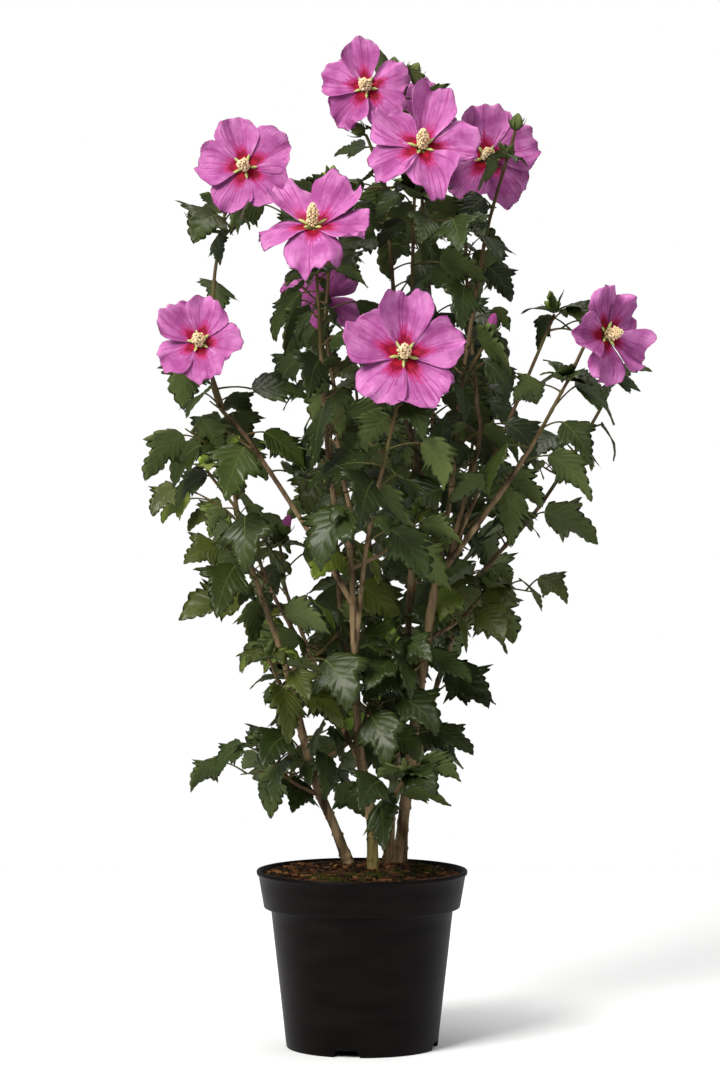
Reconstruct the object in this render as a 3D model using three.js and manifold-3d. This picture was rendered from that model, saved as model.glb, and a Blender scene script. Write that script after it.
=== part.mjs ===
// Hibiscus shrub in a round nursery pot: four stems, boughs that fork from them, leafy shoots
// with open flowers and buds, the compost and the pot.
// Millimetres, +Z up. The origin is the centre of the pot's flat underside; the front faces -Y.
import * as THREE from 'three';
import { mergeVertices } from 'three/addons/utils/BufferGeometryUtils.js';
import Module from 'manifold-3d';

const wasm = await Module();
wasm.setup();

// ---------------------------------------------------------------- driving dimensions

const CLEAR = 0.3;              // gap between pieces that touch
const CUT_ROOM = 0.9;           // how far a limb's cut stays off the limb it forks from
const CUT_SIDES = 8;

const POT = {
  height: 185,
  rimRadius: 110,
  lipHeight: 5,
  collarTopRadius: 108,
  collarFootRadius: 102.5,
  collarDepth: 38,
  bodyTopRadius: 95,
  shoulder: 3,                  // height of the slope from the body out to the collar
  baseRadius: 79,
  wall: 2.2,
  floor: 3,
  plinthHeight: 10,             // raised ring inside the floor, over the drainage notches
  plinthRadius: 58,
  sides: 32,
};
const NOTCH = { count: 4, width: 26, height: 7, depth: 16, firstAngle: -102 };
const SOIL_LEVEL = 178;

const STEM_SIDES = 7;
const STEM_STEP = 34;
const LIMB_SIDES = 5;
const LIMB_STEP = 55;           // length of one straight stretch of a limb
const SHOOT_SIDES = 3;
const SHOOT_STEP = 45;
const SHOOT_FULLNESS = 1.25;    // a three-sided shoot is drawn wider, to keep its wood's section
const SHOOT_TIP_RADIUS = 1.6;
const CURVE_STEPS = 16;         // points worked out between two bends of a limb
const AIM_STEP = 2;             // how far to each side a limb's direction is taken over
const FLARE = 0.35;             // how much wider a stem is where it meets the ground
const FLARE_REACH = 14;

const LEAF = {
  length: 66,
  spread: 0.36,                 // how much lengths differ
  petiole: 16,
  petioleSpread: 28,
  petioleRadius: 0.9,
  spacing: 21,                  // between one leaf and the next along a shoot
  stray: [0.35, 0.3],           // where in its space a leaf stands: least, and spread
  tipShrink: 0.45,              // how much smaller leaves are at a shoot's tip
  turn: 137.5,                  // degrees round the shoot between them
  turnSpread: 50,
  sideStep: 63,                 // degrees that a leaf turns on where it finds no room
  rise: [48, 50],               // degrees that a stalk rises: most, and spread
  yawSpread: 50,
  baseSlope: [8, 45],           // degrees of the blade's foot: most, and spread
  droop: [25, 50],              // degrees from the blade's foot down to its tip
  rollLeast: 24,
  rollSpread: 66,
  thickness: 1.3,
  middle: 0.42,
  fold: 0.16,                   // how far the two halves rise from the midrib
  tries: 6,
  lowest: 204,                  // no blade hangs lower, so the rim stays clear
};
// Half of the leaf's outline, as fractions of its length: along the midrib, and out from it.
const LEAF_OUTLINE = [[0.07, 0.26], [0.4, 0.46], [0.58, 0.25]];
// Places on a blade that must stay clear of everything else, in the same fractions.
const LEAF_FEELERS = [
  [0.06, 0], [0.12, 0.2], [0.12, -0.2], [0.28, 0], [0.28, 0.17], [0.28, -0.17], [0.3, 0.33],
  [0.3, -0.33], [0.44, 0.42], [0.44, -0.42], [0.46, 0.1], [0.46, -0.1], [0.5, 0.27],
  [0.5, -0.27], [0.64, 0.14], [0.64, -0.14], [0.78, 0], [0.9, 0], [1, 0],
];
const FEELER_RADIUS = 4.6;
const STALK_FEELER_RADIUS = 1.6;
const STALK_FEELERS = [0.45, 0.8];
const LIMB_FEELER_STEP = 5;

// A spray rises from a stem's side, then levels out, in two stretches.
const SPRAY = {
  length: 82,
  rise: 28,
  outer: [0.42, 0.4],           // how far the second stretch goes out and up
  radius: 2.2,
  leafSize: 0.9,
  spacing: 16,
  tries: 8,
  sideStep: 47,
  last: 0.94,                   // how far up the stem the last one stands
  room: 4,
};

const PETAL = {
  count: 5,
  thickness: 1.6,
  cup: 0.5,
  recurve: 0.36,
  twist: 0.2,
  sag: [0.09, 0.36],            // how far petals stand or hang: least, and more as it faces up
  heart: 0.06,                  // how far from the axis a petal begins
  notch: 0.12,
  middle: 0.55,
};
const PETAL_OUTLINE = [[0.45, 0.33], [0.8, 0.48]];
const PETAL_FEELERS = [[0.3, 0], [0.6, 0.25], [0.6, -0.25], [0.92, 0.34], [0.92, -0.34]];
const PETAL_FEELER_RADIUS = 6;
const HEART_FEELER_RADIUS = 12;
const COLUMN = { length: 0.42, radius: 4.4, taper: 0.7, foot: 2, cap: 2 };
const CALYX = { length: 14, radius: 6.5, taper: 0.3, neck: 1 };
const BUD = { length: 19, radius: 6.5, sunk: 2, feelerRadius: 8 };
const STALK = { radius: 2, tipRadius: 1.6, sunk: 4, sides: 3, step: 20, behindFlower: 14, behindBud: 8 };

const COLOURS = {
  bark: 0x8a6a4b,
  youngBark: 0x6d4a38,
  leaf: 0x2c4426,
  pot: 0x1b1b1c,
  soil: 0x4a3222,
};

// Stems rise from the compost. Each bend is [x, y, z]; radius runs from the foot to the tip.
// Short leafy sprays, one for each seed, turn round the stem from a part of the way up it.
const STEMS = [
  { name: 'stem_left', radius: [5.6, 3.6],
    sprayFrom: 0.4, sprayHeading: 196, spraySeeds: [14083, 6257, 10455, 14604, 2442],
    bends: [[-6, 22, 168], [-27, 14, 224], [-51, 0, 286], [-81, -22, 407]] },
  { name: 'stem_centre', radius: [5.6, 3.1],
    sprayFrom: 0.2, sprayHeading: 300, spraySeeds: [8146, 6844, 108, 13437],
    bends: [[12, -15, 168], [9, -18, 244], [-3, -28, 318], [-9, -42, 449], [-12, -48, 523]] },
  { name: 'stem_right', radius: [6.8, 4],
    sprayFrom: 0.26, sprayHeading: -30, spraySeeds: [117, 9072, 9894, 11856, 113],
    bends: [[38, 61, 168], [46, 50, 253], [57, 34, 347], [70, 14, 440], [79, 0, 500]] },
  { name: 'stem_back', radius: [5, 3.2],
    sprayFrom: 0.3, sprayHeading: 80, spraySeeds: [4402, 12067, 14626],
    bends: [[27, 92, 168], [35, 98, 286], [48, 106, 413], [54, 98, 520]] },
];

// Boughs leave a stem or another bough a part of the way along it. `bare` is the part of a
// bough's length without leaves; its leafy shoot grows on from there to the last bend.
const BOUGHS = [
  { name: 'left_tip', from: 'stem_left', at: 1, radius: 3.1, bare: 0.16, seed: 11401,
    bends: [[-118, -40, 518], [-140, -50, 622]] },
  { name: 'front', from: 'stem_centre', at: 0.68, radius: 2.8, bare: 0.42, seed: 5672,
    bends: [[5, -104, 530], [26, -140, 630], [38, -151, 680]] },
  { name: 'left', from: 'stem_centre', at: 0.84, radius: 2.9, bare: 0.34, seed: 12393,
    bends: [[-47, -66, 529], [-114, -70, 632], [-151, -58, 683], [-153, -34, 789], [-142, -22, 866]] },
  { name: 'low_left', from: 'stem_centre', at: 0.36, radius: 2.8, bare: 0.4, seed: 4915,
    bends: [[-27, 20, 346], [-58, 56, 406], [-98, 78, 476], [-123, 94, 542], [-166, 112, 600]] },
  { name: 'inner_left', from: 'low_left', at: 0.38, radius: 2.3, bare: 0.25, seed: 16361,
    bends: [[-76, 52, 462], [-86, 44, 520]] },
  { name: 'middle_left', from: 'stem_centre', at: 1, radius: 2.8, bare: 0.18, seed: 13227,
    bends: [[-27, -66, 564], [-37, -84, 645], [-43, -96, 747], [-46, -98, 803]] },
  { name: 'middle', from: 'stem_centre', at: 0.99, radius: 2.7, bare: 0.2, seed: 5717,
    bends: [[-11, -36, 554], [-23, -24, 612], [-27, -14, 673], [-37, -2, 748], [-35, 6, 806],
      [-32, 20, 898]] },
  { name: 'top', from: 'stem_right', at: 1, radius: 3, bare: 0.22, seed: 6723,
    bends: [[72, 14, 549], [60, 28, 607], [44, 36, 668], [33, 34, 790], [25, 16, 883], [20, 2, 945]] },
  { name: 'tall_back', from: 'stem_back', at: 1, radius: 2.8, bare: 0.25, seed: 8917,
    bends: [[55, 84, 606], [50, 66, 666], [52, 16, 790], [54, -24, 882]] },
  { name: 'right', from: 'stem_right', at: 0.99, radius: 2.9, bare: 0.22, seed: 15307,
    bends: [[93, 8, 582], [99, 0, 653], [113, 6, 752], [130, 18, 850], [151, 26, 926]] },
  { name: 'far_right', from: 'stem_right', at: 0.97, radius: 3.5, bare: 0.4, seed: 8860,
    bends: [[113, -30, 538], [166, -64, 616], [209, -86, 694]] },
  { name: 'inner_right', from: 'far_right', at: 0.2, radius: 2.5, bare: 0.2, seed: 7391,
    bends: [[121, -6, 629], [120, 10, 671], [112, 42, 766], [108, 64, 859]] },
  { name: 'slant_right', from: 'inner_right', at: 0.05, radius: 2.5, bare: 0.25, seed: 12395,
    bends: [[167, 30, 684], [203, 74, 765]] },
  { name: 'low_right', from: 'stem_right', at: 0.24, radius: 3.2, bare: 0.13, seed: 13801,
    bends: [[73, 82, 349], [97, 108, 423], [125, 122, 484], [192, 140, 562], [252, 146, 657],
      [272, 144, 701]] },
  { name: 'back_left', from: 'stem_centre', at: 0.5, radius: 2.8, bare: 0.35, seed: 7408,
    bends: [[-22, 40, 446], [-30, 100, 568], [-36, 126, 674], [-42, 133, 735]] },
  { name: 'back', from: 'stem_back', at: 0.8, radius: 2.8, bare: 0.25, seed: 7574,
    bends: [[72, 146, 567], [76, 160, 728], [66, 140, 870], [60, 118, 930]] },
  { name: 'back_right', from: 'stem_back', at: 0.45, radius: 2.7, bare: 0.3, seed: 4178,
    bends: [[86, 152, 430], [112, 190, 555], [124, 205, 664]] },
  { name: 'back_middle', from: 'stem_back', at: 0.35, radius: 2.7, bare: 0.3, seed: 15483,
    bends: [[18, 160, 437], [2, 198, 580], [-6, 206, 684]] },
];

// Open flowers stand on stalks: the shoot that bears them, how far along it the stalk leaves,
// the flower's centre, the way it faces, its roll in degrees and its petals' length.
const FLOWERS = [
  { on: 'top', at: 1, centre: [5, 4, 998], faces: [-0.15, -0.95, 0.28], roll: 95, petal: 49 },
  { on: 'tall_back', at: 1, centre: [61, -65, 932], faces: [0.05, -0.74, 0.67], roll: 68, petal: 60 },
  { on: 'left', at: 1, centre: [-120, -40, 914], faces: [-0.12, -0.97, 0.2], roll: 104, petal: 53 },
  { on: 'middle_left', at: 1, centre: [-50, -108, 850], faces: [0, -0.5, 0.87], roll: 54, petal: 60 },
  { on: 'front', at: 1, centre: [42, -163, 720], faces: [0.02, -0.93, 0.36], roll: 86, petal: 62 },
  { on: 'left', at: 0.3, centre: [-165, -90, 734], faces: [-0.12, -0.94, 0.32], roll: 70, petal: 46 },
  { on: 'far_right', at: 1, centre: [247, -100, 742], faces: [0.66, -0.74, 0.12], roll: 110, petal: 51 },
  { on: 'inner_right', at: 1, centre: [130, 58, 929], faces: [0.15, -0.95, 0.25], roll: 92, petal: 56 },
  { on: 'back', at: 1, centre: [54, 108, 968], faces: [-0.1, 0.8, 0.6], roll: 40, petal: 44 },
  { on: 'back_left', at: 1, centre: [-43, 140, 783], faces: [0.1, 0.9, 0.42], roll: 75, petal: 47 },
];

// Buds stand on stalks too: the shoot, how far along it, the bud's foot and the way it points.
const BUDS = [
  { on: 'top', at: 0.97, foot: [32, 19, 1016], points: [0.1, 0.1, 1] },
  { on: 'top', at: 0.9, foot: [51, 24, 1012], points: [0.5, 0, 0.9] },
  { on: 'top', at: 0.86, foot: [0, -4, 951], points: [-0.7, -0.3, 0.6] },
  { on: 'left', at: 0.94, foot: [-170, -54, 858], points: [-0.3, -0.2, 1] },
  { on: 'right', at: 1, foot: [160, 28, 958], points: [0.2, 0, 1] },
  { on: 'right', at: 0.3, foot: [131, -18, 744], points: [0.3, -0.2, 1] },
  { on: 'inner_left', at: 1, foot: [-84, 40, 534], points: [0.4, -0.2, 1] },
  { on: 'back_right', at: 1, foot: [126, 208, 680], points: [0.1, 0.2, 1] },
  { on: 'back_middle', at: 1, foot: [-8, 206, 700], points: [-0.2, 0.3, 1] },
];

// ---------------------------------------------------------------- small tools

const UP = new THREE.Vector3(0, 0, 1);
const vector = ([x, y, z]) => new THREE.Vector3(x, y, z);
const radians = THREE.MathUtils.degToRad;

// A repeatable stream of numbers from 0 to 1 for one seed.
function numberStream(seed) {
  let state = seed >>> 0;
  return () => {
    state = (state + 0x6d2b79f5) >>> 0;
    let mixed = Math.imul(state ^ (state >>> 15), state | 1);
    mixed ^= mixed + Math.imul(mixed ^ (mixed >>> 7), mixed | 61);
    return ((mixed ^ (mixed >>> 14)) >>> 0) / 4294967296;
  };
}

// A three.js geometry as a closed solid that can be joined and cut.
function solidFrom(geometry) {
  const bare = geometry.clone();
  bare.deleteAttribute('normal');
  bare.deleteAttribute('uv');
  const merged = mergeVertices(bare, 1e-4);
  return new wasm.Manifold(new wasm.Mesh({
    numProp: 3,
    vertProperties: Float32Array.from(merged.attributes.position.array),
    triVerts: Uint32Array.from(merged.index.array),
  }));
}

function geometryFrom(solid) {
  const mesh = solid.getMesh();
  const geometry = new THREE.BufferGeometry();
  geometry.setAttribute('position', new THREE.BufferAttribute(mesh.vertProperties, mesh.numProp));
  geometry.setIndex(new THREE.BufferAttribute(mesh.triVerts, 1));
  return geometry;
}

function closedMesh(points, triangles) {
  const geometry = new THREE.BufferGeometry();
  const numbers = points.flatMap((point) => [point.x, point.y, point.z]);
  geometry.setAttribute('position', new THREE.Float32BufferAttribute(numbers, 3));
  geometry.setIndex(triangles.flat());
  return geometry;
}

function joined(solids) {
  return solids.reduce((whole, next) => whole.add(next));
}

// Only the largest body of a solid, so that cutting leaves no loose scraps.
function largestBody(solid) {
  const bodies = solid.decompose();
  return bodies.reduce((most, next) => (next.volume() > most.volume() ? next : most));
}

// ---------------------------------------------------------------- limbs

// A smooth line through bends, measured along its length.
class Spine {
  constructor(bends) {
    const curve = new THREE.CatmullRomCurve3(bends, false, 'catmullrom', 0.5);
    this.points = curve.getPoints((bends.length - 1) * CURVE_STEPS);
    this.reach = [0];
    for (let i = 1; i < this.points.length; i += 1) {
      this.reach.push(this.reach[i - 1] + this.points[i].distanceTo(this.points[i - 1]));
    }
    this.length = this.reach[this.reach.length - 1];
  }

  pointAt(distance) {
    const wanted = Math.min(Math.max(distance, 0), this.length);
    let i = 1;
    while (i < this.reach.length - 1 && this.reach[i] < wanted) i += 1;
    const part = (wanted - this.reach[i - 1]) / (this.reach[i] - this.reach[i - 1]);
    return this.points[i - 1].clone().lerp(this.points[i], part);
  }

  directionAt(distance) {
    const ahead = this.pointAt(distance + AIM_STEP);
    return ahead.sub(this.pointAt(distance - AIM_STEP)).normalize();
  }
}

// The straight stretches that a solid limb is drawn with, as equal parts of its length.
function stretches(from, to, stepLength) {
  return Math.max(1, Math.round((to - from) / stepLength));
}

// The point on a shoot's straight stretches, so that stalks are rooted in the solid wood.
function chordPoint(shoot, distance) {
  const steps = stretches(shoot.from, shoot.end, SHOOT_STEP);
  const step = (shoot.end - shoot.from) / steps;
  const before = Math.min(steps - 1, Math.floor((distance - shoot.from) / step));
  const start = shoot.spine.pointAt(shoot.from + before * step);
  const end = shoot.spine.pointAt(shoot.from + (before + 1) * step);
  return start.lerp(end, (distance - shoot.from) / step - before);
}

// A closed cylinder bent along a spine from one distance to another, its radius given along it.
function bentCylinder(spine, from, to, radiusAt, sides, stepLength) {
  const steps = stretches(from, to, stepLength);
  const geometry = new THREE.CylinderGeometry(1, 1, 1, sides, steps);
  const rings = [];
  let side = new THREE.Vector3(1, 0, 0);
  for (let i = 0; i <= steps; i += 1) {
    const distance = from + ((to - from) * i) / steps;
    const along = spine.directionAt(distance);
    side = side.clone().addScaledVector(along, -side.dot(along)).normalize();
    const across = along.clone().cross(side);
    rings.push({ centre: spine.pointAt(distance), side, across, radius: radiusAt(distance) });
  }
  const place = geometry.attributes.position;
  for (let i = 0; i < place.count; i += 1) {
    const ring = rings[Math.round((place.getY(i) + 0.5) * steps)];
    const point = ring.centre.clone()
      .addScaledVector(ring.side, place.getX(i) * ring.radius)
      .addScaledVector(ring.across, -place.getZ(i) * ring.radius);
    place.setXYZ(i, point.x, point.y, point.z);
  }
  return geometry;
}

// A limb as the plant's plan holds it: its spine, its taper and where its wood ends.
function limbPlan(spine, footRadius, tipRadius, end) {
  const radiusAt = (distance) => footRadius + ((tipRadius - footRadius) * distance) / spine.length;
  return { spine, radiusAt, end };
}

function limbSolid(limb, from, to, sides, stepLength, extra = 0) {
  const radiusAt = (distance) => limb.radiusAt(distance) + extra;
  return solidFrom(bentCylinder(limb.spine, from - extra, to + extra, radiusAt, sides, stepLength));
}

function stemSolid(limb) {
  const flared = (distance) => {
    const height = Math.max(0, limb.spine.pointAt(distance).z - SOIL_LEVEL);
    return limb.radiusAt(distance) * (1 + FLARE * Math.exp(-height / FLARE_REACH));
  };
  const stem = solidFrom(bentCylinder(limb.spine, 0, limb.end, flared, STEM_SIDES, STEM_STEP));
  const below = new THREE.BoxGeometry(4 * POT.rimRadius, 4 * POT.rimRadius, SOIL_LEVEL);
  below.translate(0, 0, SOIL_LEVEL / 2 + CLEAR);
  return stem.subtract(solidFrom(below));
}

// ---------------------------------------------------------------- leaves

// A leaf's midrib bends evenly from one slope to another. The point at a fraction of its
// length, and a distance out to the side, follows from the two slopes.
function bladePoint(leaf, along, out, lift = 0) {
  const bend = leaf.tipSlope - leaf.baseSlope;
  const slope = leaf.baseSlope + bend * along;
  const forward = (leaf.length * (Math.sin(slope) - Math.sin(leaf.baseSlope))) / bend;
  const rise = (-leaf.length * (Math.cos(slope) - Math.cos(leaf.baseSlope))) / bend;
  const normal = leaf.heading.clone().multiplyScalar(-Math.sin(slope))
    .addScaledVector(UP, Math.cos(slope));
  const side = UP.clone().cross(leaf.heading).multiplyScalar(Math.cos(leaf.roll))
    .addScaledVector(normal, Math.sin(leaf.roll));
  return leaf.base.clone()
    .addScaledVector(leaf.heading, forward)
    .addScaledVector(UP, rise)
    .addScaledVector(side, out * leaf.length)
    .addScaledVector(normal, LEAF.fold * Math.abs(out) * leaf.length + lift);
}

// One closed mesh: a three-sided stalk whose end opens into a thin lens with a lobed outline.
function leafSolid(leaf) {
  const stalk = leaf.base.clone().sub(leaf.root).normalize();
  const side = UP.clone().cross(leaf.heading).normalize();
  const down = side.clone().cross(stalk).normalize();
  const section = [[1, -0.5], [-1, -0.5], [0, 1]];
  const ring = (centre) => section.map(([across, under]) => centre.clone()
    .addScaledVector(side, across * LEAF.petioleRadius)
    .addScaledVector(down, under * LEAF.petioleRadius));
  const left = LEAF_OUTLINE.map(([along, out]) => bladePoint(leaf, along, out));
  const right = LEAF_OUTLINE.map(([along, out]) => bladePoint(leaf, along, -out)).reverse();
  const tip = bladePoint(leaf, 1, 0);
  const middleLift = LEAF.thickness / 2;
  const points = [
    ...ring(leaf.root), ...ring(leaf.base), ...left, tip, ...right,
    bladePoint(leaf, LEAF.middle, 0, middleLift), bladePoint(leaf, LEAF.middle, 0, -middleLift),
  ];
  const top = points.length - 2;
  const under = points.length - 1;
  const edge = [3, ...points.slice(6, top).map((_, i) => 6 + i), 4];
  const triangles = [[0, 2, 1]];
  for (let i = 0; i < 3; i += 1) {
    const next = (i + 1) % 3;
    triangles.push([i, next, 3 + i], [next, 3 + next, 3 + i]);
  }
  for (let i = 0; i < edge.length - 1; i += 1) {
    triangles.push([edge[i], edge[i + 1], top].reverse(), [edge[i], edge[i + 1], under]);
  }
  triangles.push([4, 3, top].reverse(), [4, 5, under], [5, 3, under]);
  return outward(closedMesh(points, triangles));
}

// A closed mesh as a solid, turned the right way out where its faces point in.
function outward(geometry) {
  const solid = solidFrom(geometry);
  if (solid.volume() > 0) return solid;
  const index = geometry.index;
  for (let i = 0; i < index.count; i += 3) {
    const first = index.getX(i);
    index.setX(i, index.getX(i + 1));
    index.setX(i + 1, first);
  }
  return solidFrom(geometry);
}

function leafFeelers(leaf) {
  const blade = LEAF_FEELERS.map(([along, out]) => (
    { point: bladePoint(leaf, along, out), radius: FEELER_RADIUS, stalk: false }));
  const stalk = STALK_FEELERS.map((part) => (
    { point: leaf.root.clone().lerp(leaf.base, part), radius: STALK_FEELER_RADIUS, stalk: true }));
  return [...blade, ...stalk];
}

// ---------------------------------------------------------------- flowers and buds

// Two directions across a facing direction: the first as near to straight up as it can be.
function facingFrame(faces) {
  const normal = vector(faces).normalize();
  const across = UP.clone().cross(normal).normalize();
  return { normal, across, up: normal.clone().cross(across) };
}

// A petal's surface: it rises from the heart like a funnel, then curls back, and one edge is
// lifted so that each petal lies over the next. Upper petals stand up and lower ones hang.
function petalPoint(flower, turn, along, out, lift = 0) {
  const angle = radians(flower.roll + turn);
  const { normal, across, up } = flower.frame;
  const ray = across.clone().multiplyScalar(Math.cos(angle)).addScaledVector(up, Math.sin(angle));
  const side = normal.clone().cross(ray);
  const sag = (PETAL.sag[0] + PETAL.sag[1] * normal.z) * Math.sin(angle);
  const curve = sag - PETAL.recurve;
  const height = PETAL.cup * along + curve * along * along + PETAL.twist * out * along;
  return vector(flower.centre)
    .addScaledVector(ray, (PETAL.heart + (1 - PETAL.heart) * along) * flower.petal)
    .addScaledVector(side, out * flower.petal)
    .addScaledVector(normal, height * flower.petal + lift);
}

// An open flower as one closed mesh. Its outline runs round each petal and in to a notch
// between two; each petal is a lens with a raised middle. The column stands on a ring inside
// the notches, and the calyx hangs from a ring under them.
function flowerSolid(flower) {
  const { normal, across, up } = flower.frame;
  const points = [];
  const add = (point) => points.push(point) - 1;
  const onAxis = (height) => add(vector(flower.centre).addScaledVector(normal, height));
  const ring = (radius, height) => Array.from({ length: PETAL.count }, (_, i) => {
    const angle = radians(flower.roll + (360 * (i - 0.5)) / PETAL.count);
    return add(vector(flower.centre)
      .addScaledVector(across, radius * Math.cos(angle))
      .addScaledVector(up, radius * Math.sin(angle))
      .addScaledVector(normal, height));
  });
  const columnLength = COLUMN.length * flower.petal;
  const columnTip = ring(COLUMN.taper * COLUMN.radius, columnLength);
  const calyxTip = ring(CALYX.taper * CALYX.radius, CALYX.neck - CALYX.length);
  const sides = [
    {
      lift: PETAL.thickness / 2,
      rings: [ring(COLUMN.radius, COLUMN.foot), columnTip],
      end: onAxis(columnLength + COLUMN.cap),
    },
    {
      lift: -PETAL.thickness / 2,
      rings: [ring(CALYX.radius, -CALYX.neck), calyxTip],
      end: onAxis(-CALYX.length),
    },
  ];
  const notches = [];
  const petals = [];
  for (let i = 0; i < PETAL.count; i += 1) {
    const turn = (360 * i) / PETAL.count;
    const onPetal = (along, out, lift) => add(petalPoint(flower, turn, along, out, lift));
    notches.push(add(petalPoint(flower, turn - 180 / PETAL.count, PETAL.notch, 0)));
    petals.push({
      edge: [
        ...PETAL_OUTLINE.map(([along, out]) => onPetal(along, -out)), onPetal(1, 0),
        ...PETAL_OUTLINE.map(([along, out]) => onPetal(along, out)).reverse(),
      ],
      middles: sides.map((side) => onPetal(PETAL.middle, 0, side.lift)),
    });
  }
  const triangles = [];
  sides.forEach((side, below) => {
    const face = (...corners) => triangles.push(below ? corners.reverse() : corners);
    const [inner, outer] = side.rings;
    for (let i = 0; i < PETAL.count; i += 1) {
      const next = (i + 1) % PETAL.count;
      const loop = [inner[i], notches[i], ...petals[i].edge, notches[next], inner[next], inner[i]];
      for (let j = 0; j < loop.length - 1; j += 1) face(loop[j], loop[j + 1], petals[i].middles[below]);
      face(inner[i], inner[next], outer[next]);
      face(inner[i], outer[next], outer[i]);
      face(outer[i], outer[next], side.end);
    }
  });
  return outward(closedMesh(points, triangles));
}

function flowerFeelers(flower) {
  const feelers = [{ point: vector(flower.centre), radius: HEART_FEELER_RADIUS, stalk: false }];
  for (let i = 0; i < PETAL.count; i += 1) {
    for (const [along, out] of PETAL_FEELERS) {
      const point = petalPoint(flower, (360 * i) / PETAL.count, along, out);
      feelers.push({ point, radius: PETAL_FEELER_RADIUS, stalk: false });
    }
  }
  return feelers;
}

function budSolid(bud) {
  const spindle = new THREE.SphereGeometry(1, 5, 3).scale(BUD.radius, BUD.length / 2, BUD.radius);
  const pointing = vector(bud.points).normalize();
  const turn = new THREE.Quaternion().setFromUnitVectors(new THREE.Vector3(0, 1, 0), pointing);
  spindle.translate(0, BUD.length / 2 - BUD.sunk, 0).applyQuaternion(turn);
  return solidFrom(spindle.translate(...bud.foot));
}

// A stalk leaves its shoot, and comes up to a flower or bud from behind.
function stalkPlan(shoot, at, end, direction, behind) {
  const start = chordPoint(shoot, shoot.from + (shoot.end - shoot.from) * at);
  const back = end.clone().addScaledVector(direction, -behind);
  return limbPlan(new Spine([start, back, end]), STALK.radius, STALK.tipRadius, 0);
}

// ---------------------------------------------------------------- the plan of the plant

// What is already in the crown: round feelers, kept in the order they came.
const taken = [];

function isFree(feelers, owner) {
  return feelers.every((feeler) => {
    if (!feeler.stalk && feeler.point.z < LEAF.lowest) return false;
    return taken.every((other) => {
      if (other.owner === owner && (feeler.stalk || other.stalk)) return true;
      const room = feeler.radius + other.radius;
      return feeler.point.distanceToSquared(other.point) > room * room;
    });
  });
}

function take(feelers, owner) {
  for (const feeler of feelers) taken.push({ ...feeler, owner });
}

function limbFeelers(limb, from, to) {
  const feelers = [];
  for (let distance = from; distance <= to; distance += LIMB_FEELER_STEP) {
    const point = limb.spine.pointAt(distance);
    feelers.push({ point, radius: limb.radiusAt(distance) + 1, stalk: true });
  }
  return feelers;
}

// Leaves stand round a shoot at a steady turn, longest in its middle. Each is tried a few
// times with other headings and slopes, and left out where it finds no room.
function growLeaves(shoot) {
  const next = numberStream(shoot.seed);
  const firstTurn = 360 * next();
  const leafy = shoot.end - shoot.from;
  const count = Math.round(leafy / shoot.spacing);
  const leaves = [];
  for (let i = 0; i < count; i += 1) {
    const part = (i + LEAF.stray[0] + LEAF.stray[1] * next()) / count;
    const root = chordPoint(shoot, shoot.from + part * leafy);
    const size = shoot.leafSize * (1 - LEAF.tipShrink * part ** 4);
    for (let attempt = 0; attempt < LEAF.tries; attempt += 1) {
      const aside = attempt * LEAF.sideStep + LEAF.turnSpread * (next() - 0.5);
      const turn = radians(firstTurn + i * LEAF.turn + aside);
      const reach = size * (LEAF.petiole + LEAF.petioleSpread * next());
      const rise = radians(LEAF.rise[0] - LEAF.rise[1] * next());
      const heading = new THREE.Vector3(Math.cos(turn), Math.sin(turn), 0);
      const base = root.clone()
        .addScaledVector(heading, reach * Math.cos(rise))
        .addScaledVector(UP, reach * Math.sin(rise));
      const yaw = radians(LEAF.yawSpread * (next() - 0.5));
      heading.applyAxisAngle(UP, yaw);
      const baseSlope = radians(LEAF.baseSlope[0] - LEAF.baseSlope[1] * next());
      const tipSlope = baseSlope - radians(LEAF.droop[0] + LEAF.droop[1] * next());
      const lean = next() - 0.5;
      const roll = radians(LEAF.rollLeast * Math.sign(lean) + LEAF.rollSpread * lean);
      const length = size * LEAF.length * (1 + LEAF.spread * (next() - 0.5));
      const leaf = { root, base, heading, baseSlope, tipSlope, roll, length };
      const feelers = leafFeelers(leaf);
      if (isFree(feelers, shoot.name)) {
        take(feelers, shoot.name);
        leaves.push(leaf);
        break;
      }
    }
  }
  return leaves;
}

const limbs = {};

for (const stem of STEMS) {
  const spine = new Spine(stem.bends.map(vector));
  limbs[stem.name] = limbPlan(spine, stem.radius[0], stem.radius[1], spine.length);
}

const shoots = [];
for (const bough of BOUGHS) {
  const parent = limbs[bough.from];
  const start = parent.spine.pointAt(parent.end * bough.at);
  const spine = new Spine([start, ...bough.bends.map(vector)]);
  const end = spine.length * bough.bare;
  limbs[bough.name] = limbPlan(spine, bough.radius, SHOOT_TIP_RADIUS, end);
  shoots.push({
    ...limbs[bough.name],
    name: bough.name, seed: bough.seed, from: end + CLEAR, end: spine.length,
    leafSize: 1, spacing: LEAF.spacing,
  });
}

for (const name of Object.keys(limbs)) take(limbFeelers(limbs[name], 0, limbs[name].end), name);
for (const shoot of shoots) take(limbFeelers(shoot, shoot.from, shoot.end), shoot.name);

function sprayPlan(limb, distance, heading) {
  const turn = radians(heading);
  const rise = radians(SPRAY.rise);
  const away = new THREE.Vector3(Math.cos(turn), Math.sin(turn), 0);
  const start = limb.spine.pointAt(distance);
  const middle = start.clone()
    .addScaledVector(away, 0.5 * SPRAY.length * Math.cos(rise))
    .addScaledVector(UP, 0.5 * SPRAY.length * Math.sin(rise));
  const tip = middle.clone()
    .addScaledVector(away, SPRAY.outer[0] * SPRAY.length)
    .addScaledVector(UP, SPRAY.outer[1] * SPRAY.length);
  const spine = new Spine([start, middle, tip]);
  const plan = limbPlan(spine, SPRAY.radius, SHOOT_TIP_RADIUS, spine.length);
  return { ...plan, from: limb.radiusAt(distance) };
}

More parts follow.
